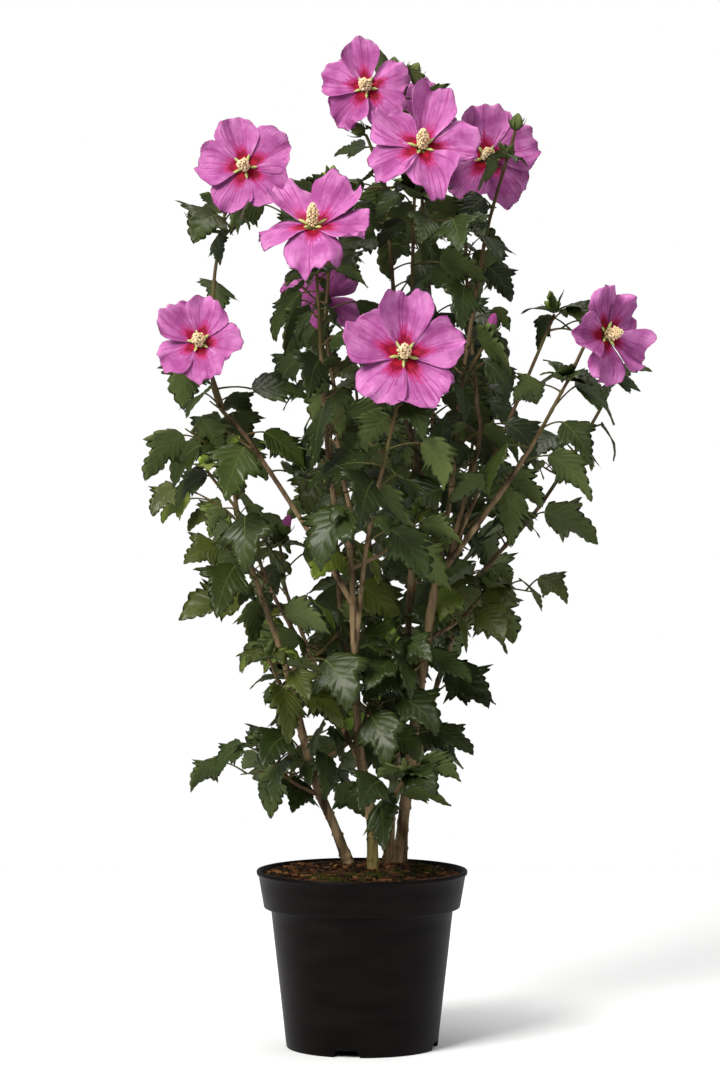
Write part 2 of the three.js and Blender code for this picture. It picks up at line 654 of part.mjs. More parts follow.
// Each spray turns on round its stem until it is clear of every other limb.
for (const stem of STEMS) {
  const limb = limbs[stem.name];
  stem.spraySeeds.forEach((seed, i) => {
    const step = (SPRAY.last - stem.sprayFrom) / (stem.spraySeeds.length - 1);
    const part = stem.sprayFrom + step * i;
    for (let attempt = 0; attempt < SPRAY.tries; attempt += 1) {
      const heading = stem.sprayHeading + i * LEAF.turn + attempt * SPRAY.sideStep;
      const spray = sprayPlan(limb, limb.end * part, heading);
      const feelers = limbFeelers(spray, spray.from, spray.end);
      const roomy = feelers.map((feeler) => ({ ...feeler, radius: feeler.radius + SPRAY.room }));
      if (isFree(roomy, stem.name)) {
        const name = `${stem.name}_spray_${i + 1}`;
        const { leafSize, spacing } = SPRAY;
        shoots.push({ ...spray, name, seed, leafSize, spacing, sprayOf: stem.name });
        take(feelers, name);
        break;
      }
    }
  });
}

const flowers = FLOWERS.map((flower) => ({ ...flower, frame: facingFrame(flower.faces) }));
for (const shoot of shoots) {
  shoot.stalks = [];
  shoot.flowers = flowers.filter((flower) => flower.on === shoot.name);
  shoot.buds = BUDS.filter((bud) => bud.on === shoot.name);
  for (const flower of shoot.flowers) {
    const { normal } = flower.frame;
    const behind = vector(flower.centre).addScaledVector(normal, STALK.sunk - CALYX.length);
    shoot.stalks.push(stalkPlan(shoot, flower.at, behind, normal, STALK.behindFlower));
    take(flowerFeelers(flower), shoot.name);
  }
  for (const bud of shoot.buds) {
    const direction = vector(bud.points).normalize();
    const foot = vector(bud.foot);
    shoot.stalks.push(stalkPlan(shoot, bud.at, foot, direction, STALK.behindBud));
    const middle = foot.clone().addScaledVector(direction, BUD.length / 2);
    take([{ point: middle, radius: BUD.feelerRadius, stalk: false }], shoot.name);
  }
  for (const stalk of shoot.stalks) take(limbFeelers(stalk, 0, stalk.spine.length), shoot.name);
}
for (const shoot of shoots) shoot.leaves = growLeaves(shoot);

// ---------------------------------------------------------------- solids

function potSolid() {
  const collarFoot = POT.height - POT.collarDepth;
  const lipFoot = POT.height - POT.lipHeight;
  const outline = [
    [0, 0], [POT.baseRadius, 0],
    [POT.bodyTopRadius, collarFoot - POT.shoulder], [POT.collarFootRadius, collarFoot],
    [POT.collarTopRadius, lipFoot], [POT.rimRadius, lipFoot + 1], [POT.rimRadius, POT.height],
    [POT.collarTopRadius - POT.wall, POT.height], ...cavityOutline(0),
  ];
  const shell = solidFrom(new THREE.LatheGeometry(
    outline.map(([radius, height]) => new THREE.Vector2(radius, height)), POT.sides,
  ).rotateX(Math.PI / 2));
  const notches = Array.from({ length: NOTCH.count }, (_, i) => {
    const box = new THREE.BoxGeometry(2 * NOTCH.depth, NOTCH.width, 2 * NOTCH.height);
    box.translate(POT.baseRadius, 0, 0);
    return solidFrom(box.rotateZ(radians(NOTCH.firstAngle + (360 * i) / NOTCH.count)));
  });
  return shell.subtract(joined(notches));
}

// The pot's inner wall from the top down to the axis, drawn in by a gap for what fills it.
function cavityOutline(gap) {
  const collarFoot = POT.height - POT.collarDepth;
  const inner = -POT.wall - gap;
  return [
    [POT.collarFootRadius + inner, collarFoot + POT.wall],
    [POT.bodyTopRadius + inner, collarFoot - POT.shoulder + POT.wall],
    [POT.baseRadius + 1 + inner, POT.plinthHeight + gap],
    [POT.plinthRadius - gap, POT.plinthHeight + gap],
    [POT.plinthRadius - 2 - gap, POT.floor + gap],
    [0, POT.floor + gap],
  ];
}

function soilSolid() {
  const collarFoot = POT.height - POT.collarDepth + POT.wall;
  const slope = (POT.collarTopRadius - POT.collarFootRadius) / (POT.height - collarFoot);
  const topRadius = POT.collarFootRadius + slope * (SOIL_LEVEL - collarFoot) - POT.wall - CLEAR;
  const outline = [[0, SOIL_LEVEL], [topRadius, SOIL_LEVEL], ...cavityOutline(CLEAR)];
  return solidFrom(new THREE.LatheGeometry(
    outline.map(([radius, height]) => new THREE.Vector2(radius, height)).reverse(), POT.sides,
  ).rotateX(Math.PI / 2));
}

// A limb cut clear of all the limbs that were there before it and lie near its foot.
function clearOf(solid, names) {
  const cutters = names.map((name) => (
    limbSolid(limbs[name], 0, limbs[name].end, CUT_SIDES, LIMB_STEP / 2, CUT_ROOM)));
  return largestBody(solid.subtract(joined(cutters)));
}

function shootSolid(shoot) {
  const radiusAt = (distance) => SHOOT_FULLNESS * shoot.radiusAt(distance);
  const stem = solidFrom(
    bentCylinder(shoot.spine, shoot.from, shoot.end, radiusAt, SHOOT_SIDES, SHOOT_STEP),
  );
  const stalks = shoot.stalks.map((stalk) => (
    limbSolid(stalk, 0, stalk.spine.length, STALK.sides, STALK.step)));
  const parts = [
    stem, ...stalks, ...shoot.leaves.map(leafSolid), ...shoot.flowers.map(flowerSolid),
    ...shoot.buds.map(budSolid),
  ];
  return largestBody(joined(parts));
}

const plant = new THREE.Group();

function addPiece(name, solid, color, roughness) {
  const mesh = new THREE.Mesh(
    geometryFrom(solid),
    new THREE.MeshStandardMaterial({ color, roughness, metalness: 0 }),
  );
  mesh.name = name;
  plant.add(mesh);
}

addPiece('pot', potSolid(), COLOURS.pot, 0.5);
addPiece('soil', soilSolid(), COLOURS.soil, 0.95);
for (const stem of STEMS) addPiece(stem.name, stemSolid(limbs[stem.name]), COLOURS.bark, 0.8);
BOUGHS.forEach((bough, i) => {
  const siblings = BOUGHS.slice(0, i).filter((other) => other.from === bough.from);
  const before = [bough.from, ...siblings.map((other) => other.name)];
  const limb = limbs[bough.name];
  const solid = limbSolid(limb, 0, limb.end, LIMB_SIDES, LIMB_STEP);
  addPiece(`bough_${bough.name}`, clearOf(solid, before), COLOURS.youngBark, 0.75);
});
for (const shoot of shoots) {
  const solid = shoot.sprayOf ? clearOf(shootSolid(shoot), [shoot.sprayOf]) : shootSolid(shoot);
  addPiece(`foliage_${shoot.name}`, solid, COLOURS.leaf, 0.5);
}

export default plant;
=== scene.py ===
"""A hibiscus shrub in a round nursery pot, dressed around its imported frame.

The plan of the plant is worked out in millimetres by the rule that its solids follow: stems and
boughs, leafy shoots, flowers and buds on stalks, and leaves that stand where they find room. The
same rule then carries on to finer side twigs and tip rosettes. Every piece is put into the
scene in metres, with the origin under the middle of the pot and the front facing -Y.
"""
import math
from types import SimpleNamespace

import bpy
import numpy as np
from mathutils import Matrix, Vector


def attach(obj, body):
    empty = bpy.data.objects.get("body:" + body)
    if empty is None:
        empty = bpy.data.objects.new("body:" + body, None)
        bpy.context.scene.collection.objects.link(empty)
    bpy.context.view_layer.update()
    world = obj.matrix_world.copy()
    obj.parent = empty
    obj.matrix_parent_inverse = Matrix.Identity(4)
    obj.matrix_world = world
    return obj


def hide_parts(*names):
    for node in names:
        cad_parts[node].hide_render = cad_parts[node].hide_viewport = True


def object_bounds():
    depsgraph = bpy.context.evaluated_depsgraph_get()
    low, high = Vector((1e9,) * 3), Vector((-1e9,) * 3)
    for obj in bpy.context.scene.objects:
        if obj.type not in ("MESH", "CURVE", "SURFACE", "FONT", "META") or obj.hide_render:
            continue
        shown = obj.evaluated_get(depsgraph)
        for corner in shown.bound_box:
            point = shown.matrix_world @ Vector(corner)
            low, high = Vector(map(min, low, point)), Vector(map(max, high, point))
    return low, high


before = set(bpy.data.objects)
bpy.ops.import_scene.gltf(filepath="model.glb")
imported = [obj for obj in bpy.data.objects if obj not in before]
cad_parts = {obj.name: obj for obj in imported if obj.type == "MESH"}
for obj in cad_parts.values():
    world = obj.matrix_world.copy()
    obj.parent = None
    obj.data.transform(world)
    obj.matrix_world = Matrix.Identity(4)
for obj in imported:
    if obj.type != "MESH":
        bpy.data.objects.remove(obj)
frame_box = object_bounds()

# ---------------------------------------------------------------- driving sizes, in millimetres

MM = 0.001
UP = np.array([0.0, 0.0, 1.0])
CLEAR = 0.3

POT = SimpleNamespace(height=185, rim=110, lip=5, collar_top=108, collar_foot=102.5, collar=38,
                      body=95, shoulder=3, base=79, wall=2.2, floor=3, plinth=10, plinth_radius=58)
NOTCH = SimpleNamespace(count=4, width=26, height=7, depth=16, first=-102)
SOIL_LEVEL = 178

CURVE_STEPS = 16
AIM_STEP = 2
TIP_RADIUS = 1.6
SHOOT_STEP = 45
LIMB_FEELER_STEP = 5

LEAF = SimpleNamespace(
    length=66, spread=0.36, petiole=16, petiole_spread=28, petiole_radius=0.9, spacing=21,
    stray=(0.35, 0.3), tip_shrink=0.45, turn=137.5, turn_spread=50, side_step=63, rise=(48, 50),
    yaw_spread=50, base_slope=(8, 45), droop=(25, 50), roll_least=24, roll_spread=66, fold=0.16,
    tries=6, lowest=204)
LEAF_FEELERS = np.array([
    (0.06, 0), (0.12, 0.2), (0.12, -0.2), (0.28, 0), (0.28, 0.17), (0.28, -0.17), (0.3, 0.33),
    (0.3, -0.33), (0.44, 0.42), (0.44, -0.42), (0.46, 0.1), (0.46, -0.1), (0.5, 0.27),
    (0.5, -0.27), (0.64, 0.14), (0.64, -0.14), (0.78, 0), (0.9, 0), (1, 0)])
FEELER_RADIUS = 4.6
STALK_FEELER_RADIUS = 1.6
STALK_FEELERS = (0.45, 0.8)

PETAL = SimpleNamespace(count=5, cup=0.5, recurve=0.36, twist=0.2, sag=(0.09, 0.36), heart=0.06)
PETAL_FEELERS = np.array([(0.3, 0), (0.6, 0.25), (0.6, -0.25), (0.92, 0.34), (0.92, -0.34)])
PETAL_FEELER_RADIUS = 6
HEART_FEELER_RADIUS = 12
COLUMN = SimpleNamespace(length=0.42, radius=3.2)
CALYX = SimpleNamespace(length=14, radius=6.5, lobes=4)
BUD = SimpleNamespace(length=19, radius=6.5, sunk=2, feeler=8)
STALK = SimpleNamespace(radius=2, tip=1.6, sunk=4, behind_flower=14, behind_bud=8)
SPRAY = SimpleNamespace(length=82, rise=28, outer=(0.42, 0.4), radius=2.2, leaf_size=0.9,
                        spacing=16, tries=8, side_step=47, last=0.94, room=4)

# Stems: bends, radius at foot and tip, and the short sprays that turn round them.
STEMS = [
    dict(name="stem_left", radius=(5.6, 3.6), spray_from=0.4, spray_heading=196,
         spray_seeds=(14083, 6257, 10455, 14604, 2442),
         bends=[(-6, 22, 168), (-27, 14, 224), (-51, 0, 286), (-81, -22, 407)]),
    dict(name="stem_centre", radius=(5.6, 3.1), spray_from=0.2, spray_heading=300,
         spray_seeds=(8146, 6844, 108, 13437),
         bends=[(12, -15, 168), (9, -18, 244), (-3, -28, 318), (-9, -42, 449), (-12, -48, 523)]),
    dict(name="stem_right", radius=(6.8, 4), spray_from=0.26, spray_heading=-30,
         spray_seeds=(117, 9072, 9894, 11856, 113),
         bends=[(38, 61, 168), (46, 50, 253), (57, 34, 347), (70, 14, 440), (79, 0, 500)]),
    dict(name="stem_back", radius=(5, 3.2), spray_from=0.3, spray_heading=80,
         spray_seeds=(4402, 12067, 14626),
         bends=[(27, 92, 168), (35, 98, 286), (48, 106, 413), (54, 98, 520)]),
]

# Boughs: what each forks from and where, foot radius, the bare part of its length, the seed of
# its leaves, the tint of its leaves, and its bends.
BOUGHS = [
    ("left_tip", "stem_left", 1, 3.1, 0.16, 11401, "mid", [(-118, -40, 518), (-140, -50, 622)]),
    ("front", "stem_centre", 0.68, 2.8, 0.42, 5672, "dark",
     [(5, -104, 530), (26, -140, 630), (38, -151, 680)]),
    ("left", "stem_centre", 0.84, 2.9, 0.34, 12393, "mid",
     [(-47, -66, 529), (-114, -70, 632), (-151, -58, 683), (-153, -34, 789), (-142, -22, 866)]),
    ("low_left", "stem_centre", 0.36, 2.8, 0.4, 4915, "olive",
     [(-27, 20, 346), (-58, 56, 406), (-98, 78, 476), (-123, 94, 542), (-166, 112, 600)]),
    ("inner_left", "low_left", 0.38, 2.3, 0.25, 16361, "olive", [(-76, 52, 462), (-86, 44, 520)]),
    ("middle_left", "stem_centre", 1, 2.8, 0.18, 13227, "dark",
     [(-27, -66, 564), (-37, -84, 645), (-43, -96, 747), (-46, -98, 803)]),
    ("middle", "stem_centre", 0.99, 2.7, 0.2, 5717, "mid",
     [(-11, -36, 554), (-23, -24, 612), (-27, -14, 673), (-37, -2, 748), (-35, 6, 806),
      (-32, 20, 898)]),
    ("top", "stem_right", 1, 3, 0.22, 6723, "mid",
     [(72, 14, 549), (60, 28, 607), (44, 36, 668), (33, 34, 790), (25, 16, 883), (20, 2, 945)]),
    ("tall_back", "stem_back", 1, 2.8, 0.25, 8917, "dark",
     [(55, 84, 606), (50, 66, 666), (52, 16, 790), (54, -24, 882)]),
    ("right", "stem_right", 0.99, 2.9, 0.22, 15307, "dark",
     [(93, 8, 582), (99, 0, 653), (113, 6, 752), (130, 18, 850), (151, 26, 926)]),
    ("far_right", "stem_right", 0.97, 3.5, 0.4, 8860, "mid",
     [(113, -30, 538), (166, -64, 616), (209, -86, 694)]),
    ("inner_right", "far_right", 0.2, 2.5, 0.2, 7391, "dark",
     [(121, -6, 629), (120, 10, 671), (112, 42, 766), (108, 64, 859)]),
    ("slant_right", "inner_right", 0.05, 2.5, 0.25, 12395, "mid", [(167, 30, 684), (203, 74, 765)]),
    ("low_right", "stem_right", 0.24, 3.2, 0.13, 13801, "dark",
     [(73, 82, 349), (97, 108, 423), (125, 122, 484), (192, 140, 562), (252, 146, 657),
      (272, 144, 701)]),
    ("back_left", "stem_centre", 0.5, 2.8, 0.35, 7408, "olive",
     [(-22, 40, 446), (-30, 100, 568), (-36, 126, 674), (-42, 133, 735)]),
    ("back", "stem_back", 0.8, 2.8, 0.25, 7574, "dark",
     [(72, 146, 567), (76, 160, 728), (66, 140, 870), (60, 118, 930)]),
    ("back_right", "stem_back", 0.45, 2.7, 0.3, 4178, "mid",
     [(86, 152, 430), (112, 190, 555), (124, 205, 664)]),
    ("back_middle", "stem_back", 0.35, 2.7, 0.3, 15483, "dark",
     [(18, 160, 437), (2, 198, 580), (-6, 206, 684)]),
]
SPRAY_TINTS = ("dark", "mid", "dark", "olive", "mid")

# Flowers: the shoot, where the stalk leaves it, the centre, the facing, the roll, the petal.
FLOWERS = [
    ("top", 1, (5, 4, 998), (-0.15, -0.95, 0.28), 95, 49),
    ("tall_back", 1, (61, -65, 932), (0.05, -0.74, 0.67), 68, 60),
    ("left", 1, (-120, -40, 914), (-0.12, -0.97, 0.2), 104, 53),
    ("middle_left", 1, (-50, -108, 850), (0, -0.5, 0.87), 54, 60),
    ("front", 1, (42, -163, 720), (0.02, -0.93, 0.36), 86, 62),
    ("left", 0.3, (-165, -90, 734), (-0.12, -0.94, 0.32), 70, 46),
    ("far_right", 1, (247, -100, 742), (0.66, -0.74, 0.12), 110, 51),
    ("inner_right", 1, (130, 58, 929), (0.15, -0.95, 0.25), 92, 56),
    ("back", 1, (54, 108, 968), (-0.1, 0.8, 0.6), 40, 44),
    ("back_left", 1, (-43, 140, 783), (0.1, 0.9, 0.42), 75, 47),
]

# Buds: the shoot, where the stalk leaves it, the foot, the way it points, and how far its
# rolled petals stand out of the calyx, as a part of the bud's length.
BUDS = [
    ("top", 0.97, (32, 19, 1016), (0.1, 0.1, 1), 0),
    ("top", 0.9, (51, 24, 1012), (0.5, 0, 0.9), 0),
    ("top", 0.86, (0, -4, 951), (-0.7, -0.3, 0.6), 0.35),
    ("left", 0.94, (-170, -54, 858), (-0.3, -0.2, 1), 0),
    ("right", 1, (160, 28, 958), (0.2, 0, 1), 0),
    ("right", 0.3, (131, -18, 744), (0.3, -0.2, 1), 0.3),
    ("inner_left", 1, (-84, 40, 534), (0.4, -0.2, 1), 0.3),
    ("back_right", 1, (126, 208, 680), (0.1, 0.2, 1), 0),
    ("back_middle", 1, (-8, 206, 700), (-0.2, 0.3, 1), 0.25),
]

# ---------------------------------------------------------------- the plan of the plant

WORD = 0xFFFFFFFF


def number_stream(seed):
    """Repeatable numbers from 0 to 1: a 32-bit count, stepped evenly and mixed by its shifts."""
    state = seed & WORD

    def draw():
        nonlocal state
        state = (state + 0x6D2B79F5) & WORD
        mixed = ((state ^ (state >> 15)) * (state | 1)) & WORD
        mixed ^= (mixed + (mixed ^ (mixed >> 7)) * (mixed | 61)) & WORD
        return (mixed ^ (mixed >> 14)) / 2 ** 32
    return draw


def unit(vector):
    return vector / np.linalg.norm(vector, axis=-1, keepdims=True)


def level(turn):
    """The level direction at a turn, which is in radians."""
    return np.array([math.cos(turn), math.sin(turn), 0])


def rising(turn, rise):
    """The direction at a turn that rises by an angle, both in radians."""
    return level(turn) * math.cos(rise) + UP * math.sin(rise)


class Spine:
    """A smooth line through bends: between two of them a cubic whose slope at each bend is half
    the step from the bend before to the bend after. It is measured along its length."""

    def __init__(self, bends):
        bends = np.array(bends, float)
        ends = [2 * bends[0] - bends[1]], [2 * bends[-1] - bends[-2]]
        path = np.concatenate([ends[0], bends, ends[1]])
        spans = len(bends) - 1
        t = np.arange(spans * CURVE_STEPS + 1) / CURVE_STEPS
        i = np.minimum(t.astype(int), spans - 1)
        t = (t - i)[:, None]
        before, start, end, after = (path[i + k] for k in range(4))
        leave, reach = 0.5 * (end - before), 0.5 * (after - start)
        square = -3 * start + 3 * end - 2 * leave - reach
        cube = 2 * start - 2 * end + leave + reach
        self.points = start + leave * t + square * t ** 2 + cube * t ** 3
        steps = np.linalg.norm(np.diff(self.points, axis=0), axis=1)
        self.reach = np.concatenate([[0], np.cumsum(steps)])
        self.length = self.reach[-1]

    def point(self, distance):
        return np.stack([np.interp(distance, self.reach, axis) for axis in self.points.T], -1)

    def direction(self, distance):
        return unit(self.point(distance + AIM_STEP) - self.point(distance - AIM_STEP))


class Limb:
    """A spine with a taper, the distance where its bare wood ends, and what grows on it."""

    def __init__(self, name, spine, foot, tip, end, **more):
        self.name, self.spine, self.foot, self.tip, self.end = name, spine, foot, tip, end
        self.__dict__.update(more)

    def radius(self, distance):
        return self.foot + (self.tip - self.foot) * distance / self.spine.length


def chord_point(shoot, distance):
    """The point on the straight stretches that a shoot's solid wood is drawn with."""
    leafy = shoot.end - shoot.start
    steps = max(1, math.floor(leafy / SHOOT_STEP + 0.5))
    part = (distance - shoot.start) * steps / leafy
    before = min(steps - 1, math.floor(part))
    ends = shoot.spine.point(shoot.start + np.array([before, before + 1]) * leafy / steps)
    return ends[0] + (ends[1] - ends[0]) * (part - before)


class Room:
    """What is already in the crown: round feelers, each with its owner and whether it is wood."""

    def __init__(self):
        self.points = np.zeros((0, 3))
        self.radii = np.zeros(0)
        self.wood = np.zeros(0, bool)
        self.owners = np.zeros(0, int)
        self.names = {}

    def number(self, owner):
        return self.names.setdefault(owner, len(self.names))

    def free(self, points, radii, wood, owner):
        """True where no blade hangs too low and no feeler comes nearer to another than their
        radii together, except wood beside what belongs to the same owner."""
        if (points[~wood, 2] < LEAF.lowest).any():
            return False
        gaps = ((points[:, None] - self.points) ** 2).sum(-1)
        near = gaps <= (radii[:, None] + self.radii) ** 2
        same = (self.owners == self.number(owner)) & (wood[:, None] | self.wood)
        return not (near & ~same).any()

    def take(self, points, radii, wood, owner):
        self.points = np.concatenate([self.points, points])
        self.radii = np.concatenate([self.radii, radii])
        self.wood = np.concatenate([self.wood, wood])
        self.owners = np.concatenate([self.owners, np.full(len(points), self.number(owner))])


def limb_feelers(limb, start, end):
    distance = np.arange(start, end + 1e-9, LIMB_FEELER_STEP)
    return limb.spine.point(distance), limb.radius(distance) + 1, np.ones(len(distance), bool)


def blade_points(leaf, along, out, lift=0):
    """A blade's surface. Its midrib bends evenly from one slope to another, so the way forward is
    length (sin slope - sin base) / bend and the rise is -length (cos slope - cos base) / bend.
    Out to the side it is a roof: the fold lifts it by a part of the distance from the midrib."""
    def spread(values):
        """One value for each leaf, in step with the grid of points."""
        return np.reshape(values, np.shape(values) + (1,) * (np.ndim(along) - np.ndim(values)))
    base_slope, length, roll = (spread(v) for v in (leaf.base_slope, leaf.length, leaf.roll))
    bend = spread(leaf.tip_slope) - base_slope
    slope = base_slope + bend * along
    forward = length * (np.sin(slope) - np.sin(base_slope)) / bend
    rise = -length * (np.cos(slope) - np.cos(base_slope)) / bend
    shape = np.shape(leaf.heading)[:-1] + (1,) * (np.ndim(along) - np.ndim(leaf.length)) + (3,)
    heading, base = (np.reshape(v, shape) for v in (leaf.heading, leaf.base))
    normal = -heading * np.sin(slope)[..., None] + UP * np.cos(slope)[..., None]
    side = np.cross(UP, heading) * np.cos(roll)[..., None] + normal * np.sin(roll)[..., None]
    raised = LEAF.fold * np.abs(out) * length + lift
    return (base + heading * forward[..., None] + UP * rise[..., None]
            + side * (out * length)[..., None] + normal * raised[..., None])


def leaf_feelers(leaf, scale):
    blade = blade_points(leaf, LEAF_FEELERS[:, 0], LEAF_FEELERS[:, 1])
    stalk = [leaf.root + (leaf.base - leaf.root) * part for part in STALK_FEELERS]
    wood = np.arange(len(blade) + len(stalk)) >= len(blade)
    radii = np.where(wood, STALK_FEELER_RADIUS, FEELER_RADIUS) * scale
    return np.concatenate([blade, stalk]), radii, wood


def grow_leaves(shoot, room, owner, scale=1):
    """Leaves at a steady turn round a shoot, smaller at its tip. Each is tried a few times with
    other headings and slopes, and left out where it finds no room."""
    draw = number_stream(shoot.seed)
    first_turn = 360 * draw()
    leafy = shoot.end - shoot.start
    count = math.floor(leafy / shoot.spacing + 0.5)
    leaves = []
    for i in range(count):
        part = (i + LEAF.stray[0] + LEAF.stray[1] * draw()) / count
        distance = shoot.start + part * leafy
        size = shoot.leaf_size * (1 - LEAF.tip_shrink * part ** 4)
        for attempt in range(LEAF.tries):
            aside = attempt * LEAF.side_step + LEAF.turn_spread * (draw() - 0.5)
            turn = math.radians(first_turn + i * LEAF.turn + aside)
            reach = size * (LEAF.petiole + LEAF.petiole_spread * draw())
            rise = math.radians(LEAF.rise[0] - LEAF.rise[1] * draw())
            heading = level(turn)
            root = chord_point(shoot, distance)
            base = root + heading * reach * math.cos(rise) + UP * reach * math.sin(rise)
            turn += math.radians(LEAF.yaw_spread * (draw() - 0.5))
            base_slope = math.radians(LEAF.base_slope[0] - LEAF.base_slope[1] * draw())
            tip_slope = base_slope - math.radians(LEAF.droop[0] + LEAF.droop[1] * draw())
            lean = draw() - 0.5
            roll = math.radians(LEAF.roll_least * math.copysign(1, lean)
                                + LEAF.roll_spread * lean)
            leaf = SimpleNamespace(
                root=root, base=base, heading=level(turn), base_slope=base_slope,
                tip_slope=tip_slope, roll=roll,
                length=size * LEAF.length * (1 + LEAF.spread * (draw() - 0.5)),
                distance=distance, twist=draw_side(shoot.seed, i))
            feelers = leaf_feelers(leaf, scale)
            if room.free(*feelers, owner):
                room.take(*feelers, owner)
                leaves.append(leaf)
                break
    return leaves


def draw_side(seed, i):
    """A number from 0 to 1 of a leaf's own, for the small ways in which leaves differ."""
    return number_stream(seed * 131 + i)()


def facing_frame(faces):
    """The facing direction, the level direction across it, and the one nearest to up."""
    normal = unit(np.array(faces, float))
    across = unit(np.cross(UP, normal))
    return normal, across, np.cross(normal, across)


def petal_points(flower, turn, along, out, lift=0):
    """A petal's surface, for a turn of degrees round the flower: it rises from the heart by
    cup x along, curls back by recurve x along squared, and one edge is lifted by the twist.
    Upper petals stand up and lower ones hang, by the sag x the sine of the turn."""
    angle = np.radians(flower.roll + turn)[..., None]
    ray = flower.across * np.cos(angle) + flower.up * np.sin(angle)
    side = np.cross(flower.normal, ray)
    sag = (PETAL.sag[0] + PETAL.sag[1] * flower.normal[2]) * np.sin(angle[..., 0])
    height = PETAL.cup * along + (sag - PETAL.recurve) * along ** 2 + PETAL.twist * out * along
    reach = (PETAL.heart + (1 - PETAL.heart) * along) * flower.petal
    return (flower.centre + ray * reach[..., None] + side * (out * flower.petal)[..., None]
            + flower.normal * (height * flower.petal + lift)[..., None])


def stalk_limb(shoot, at, end, direction, behind):
    """A stalk leaves its shoot, and comes up to a flower or bud from behind."""
    start = chord_point(shoot, shoot.start + (shoot.end - shoot.start) * at)
    spine = Spine([start, end - direction * behind, end])
    return Limb("stalk", spine, STALK.radius, STALK.tip, spine.length)


def spray_limb(name, limb, distance, heading):
    """A spray rises from a limb's side at a heading, then levels out."""
    turn = math.radians(heading)
    start = limb.spine.point(distance)
    middle = start + 0.5 * SPRAY.length * rising(turn, math.radians(SPRAY.rise))
    tip = middle + SPRAY.length * (level(turn) * SPRAY.outer[0] + UP * SPRAY.outer[1])
    spine = Spine([start, middle, tip])
    return Limb(name, spine, SPRAY.radius, TIP_RADIUS, spine.length,
                start=limb.radius(distance))


def plan_flower(shoot, room, at, centre, faces, roll, petal):
    """A flower, the stalk that bears it, and the room that its heart and petals take."""
    normal, across, up = facing_frame(faces)
    flower = SimpleNamespace(centre=np.array(centre, float), normal=normal, across=across,
                             up=up, roll=roll, petal=petal)
    behind = flower.centre + normal * (STALK.sunk - CALYX.length)
    shoot.stalks.append(stalk_limb(shoot, at, behind, normal, STALK.behind_flower))
    turns = np.repeat(360 / PETAL.count * np.arange(PETAL.count), len(PETAL_FEELERS))
    along, out = np.tile(PETAL_FEELERS, (PETAL.count, 1)).T
    points = np.concatenate([[flower.centre], petal_points(flower, turns, along, out)])
    radii = np.full(len(points), PETAL_FEELER_RADIUS)
    radii[0] = HEART_FEELER_RADIUS
    room.take(points, radii, np.zeros(len(radii), bool), shoot.name)
    return flower


def plan_bud(shoot, room, at, foot, points, shows):
    """A bud, the stalk that bears it, and the room that it takes."""
    normal, across, up = facing_frame(points)
    bud = SimpleNamespace(centre=np.array(foot, float), normal=normal, across=across, up=up,
                          shows=shows)
    shoot.stalks.append(stalk_limb(shoot, at, bud.centre, normal, STALK.behind_bud))
    middle = bud.centre + normal * BUD.length / 2
    room.take(middle[None], np.array([BUD.feeler]), np.array([False]), shoot.name)
    return bud


def plan_plant():
    """The stems, the boughs, every shoot with its stalks and leaves, the flowers and the buds,
    in the order in which they take their room."""
    room = Room()
    limbs = {}
    for stem in STEMS:
        spine = Spine(stem["bends"])
        limbs[stem["name"]] = Limb(stem["name"], spine, *stem["radius"], spine.length)
    shoots = []
    for name, parent, at, radius, bare, seed, tint, bends in BOUGHS:
        start = limbs[parent].spine.point(limbs[parent].end * at)
        spine = Spine([start, *bends])
        end = spine.length * bare
        limbs[name] = Limb(name, spine, radius, TIP_RADIUS, end)
        shoots.append(Limb(name, spine, radius, TIP_RADIUS, spine.length, start=end + CLEAR,
                           seed=seed, leaf_size=1, spacing=LEAF.spacing, tint=tint))
    for name, limb in limbs.items():
        room.take(*limb_feelers(limb, 0, limb.end), name)
    for shoot in shoots:
        room.take(*limb_feelers(shoot, shoot.start, shoot.end), shoot.name)
    for stem in STEMS:
        shoots += stem_sprays(stem, limbs[stem["name"]], room)
    flowers, buds = [], []
    for shoot in shoots:
        shoot.stalks = []
        flowers += [plan_flower(shoot, room, *row) for on, *row in FLOWERS if on == shoot.name]
        buds += [plan_bud(shoot, room, *row) for on, *row in BUDS if on == shoot.name]
        for stalk in shoot.stalks:
            room.take(*limb_feelers(stalk, 0, stalk.end), shoot.name)
    for shoot in shoots:
        shoot.leaves = grow_leaves(shoot, room, shoot.name)
    return SimpleNamespace(limbs=limbs, shoots=shoots, flowers=flowers, buds=buds, room=room)


def stem_sprays(stem, limb, room):
    """Short sprays up a stem. Each turns on round it until it is clear of every other limb."""
    sprays = []
    step = (SPRAY.last - stem["spray_from"]) / (len(stem["spray_seeds"]) - 1)
    for i, seed in enumerate(stem["spray_seeds"]):
        for attempt in range(SPRAY.tries):
            heading = stem["spray_heading"] + i * LEAF.turn + attempt * SPRAY.side_step
            name = f"{limb.name}_spray_{i + 1}"
            distance = limb.end * (stem["spray_from"] + step * i)
            spray = spray_limb(name, limb, distance, heading)
            points, radii, wood = limb_feelers(spray, spray.start, spray.end)
            if room.free(points, radii + SPRAY.room, wood, limb.name):
                spray.__dict__.update(seed=seed, leaf_size=SPRAY.leaf_size, spacing=SPRAY.spacing,
                                      tint=SPRAY_TINTS[i])
                sprays.append(spray)
                room.take(points, radii, wood, name)
                break
    return sprays


plant = plan_plant()

# ---------------------------------------------------------------- finer growth, by the same rule

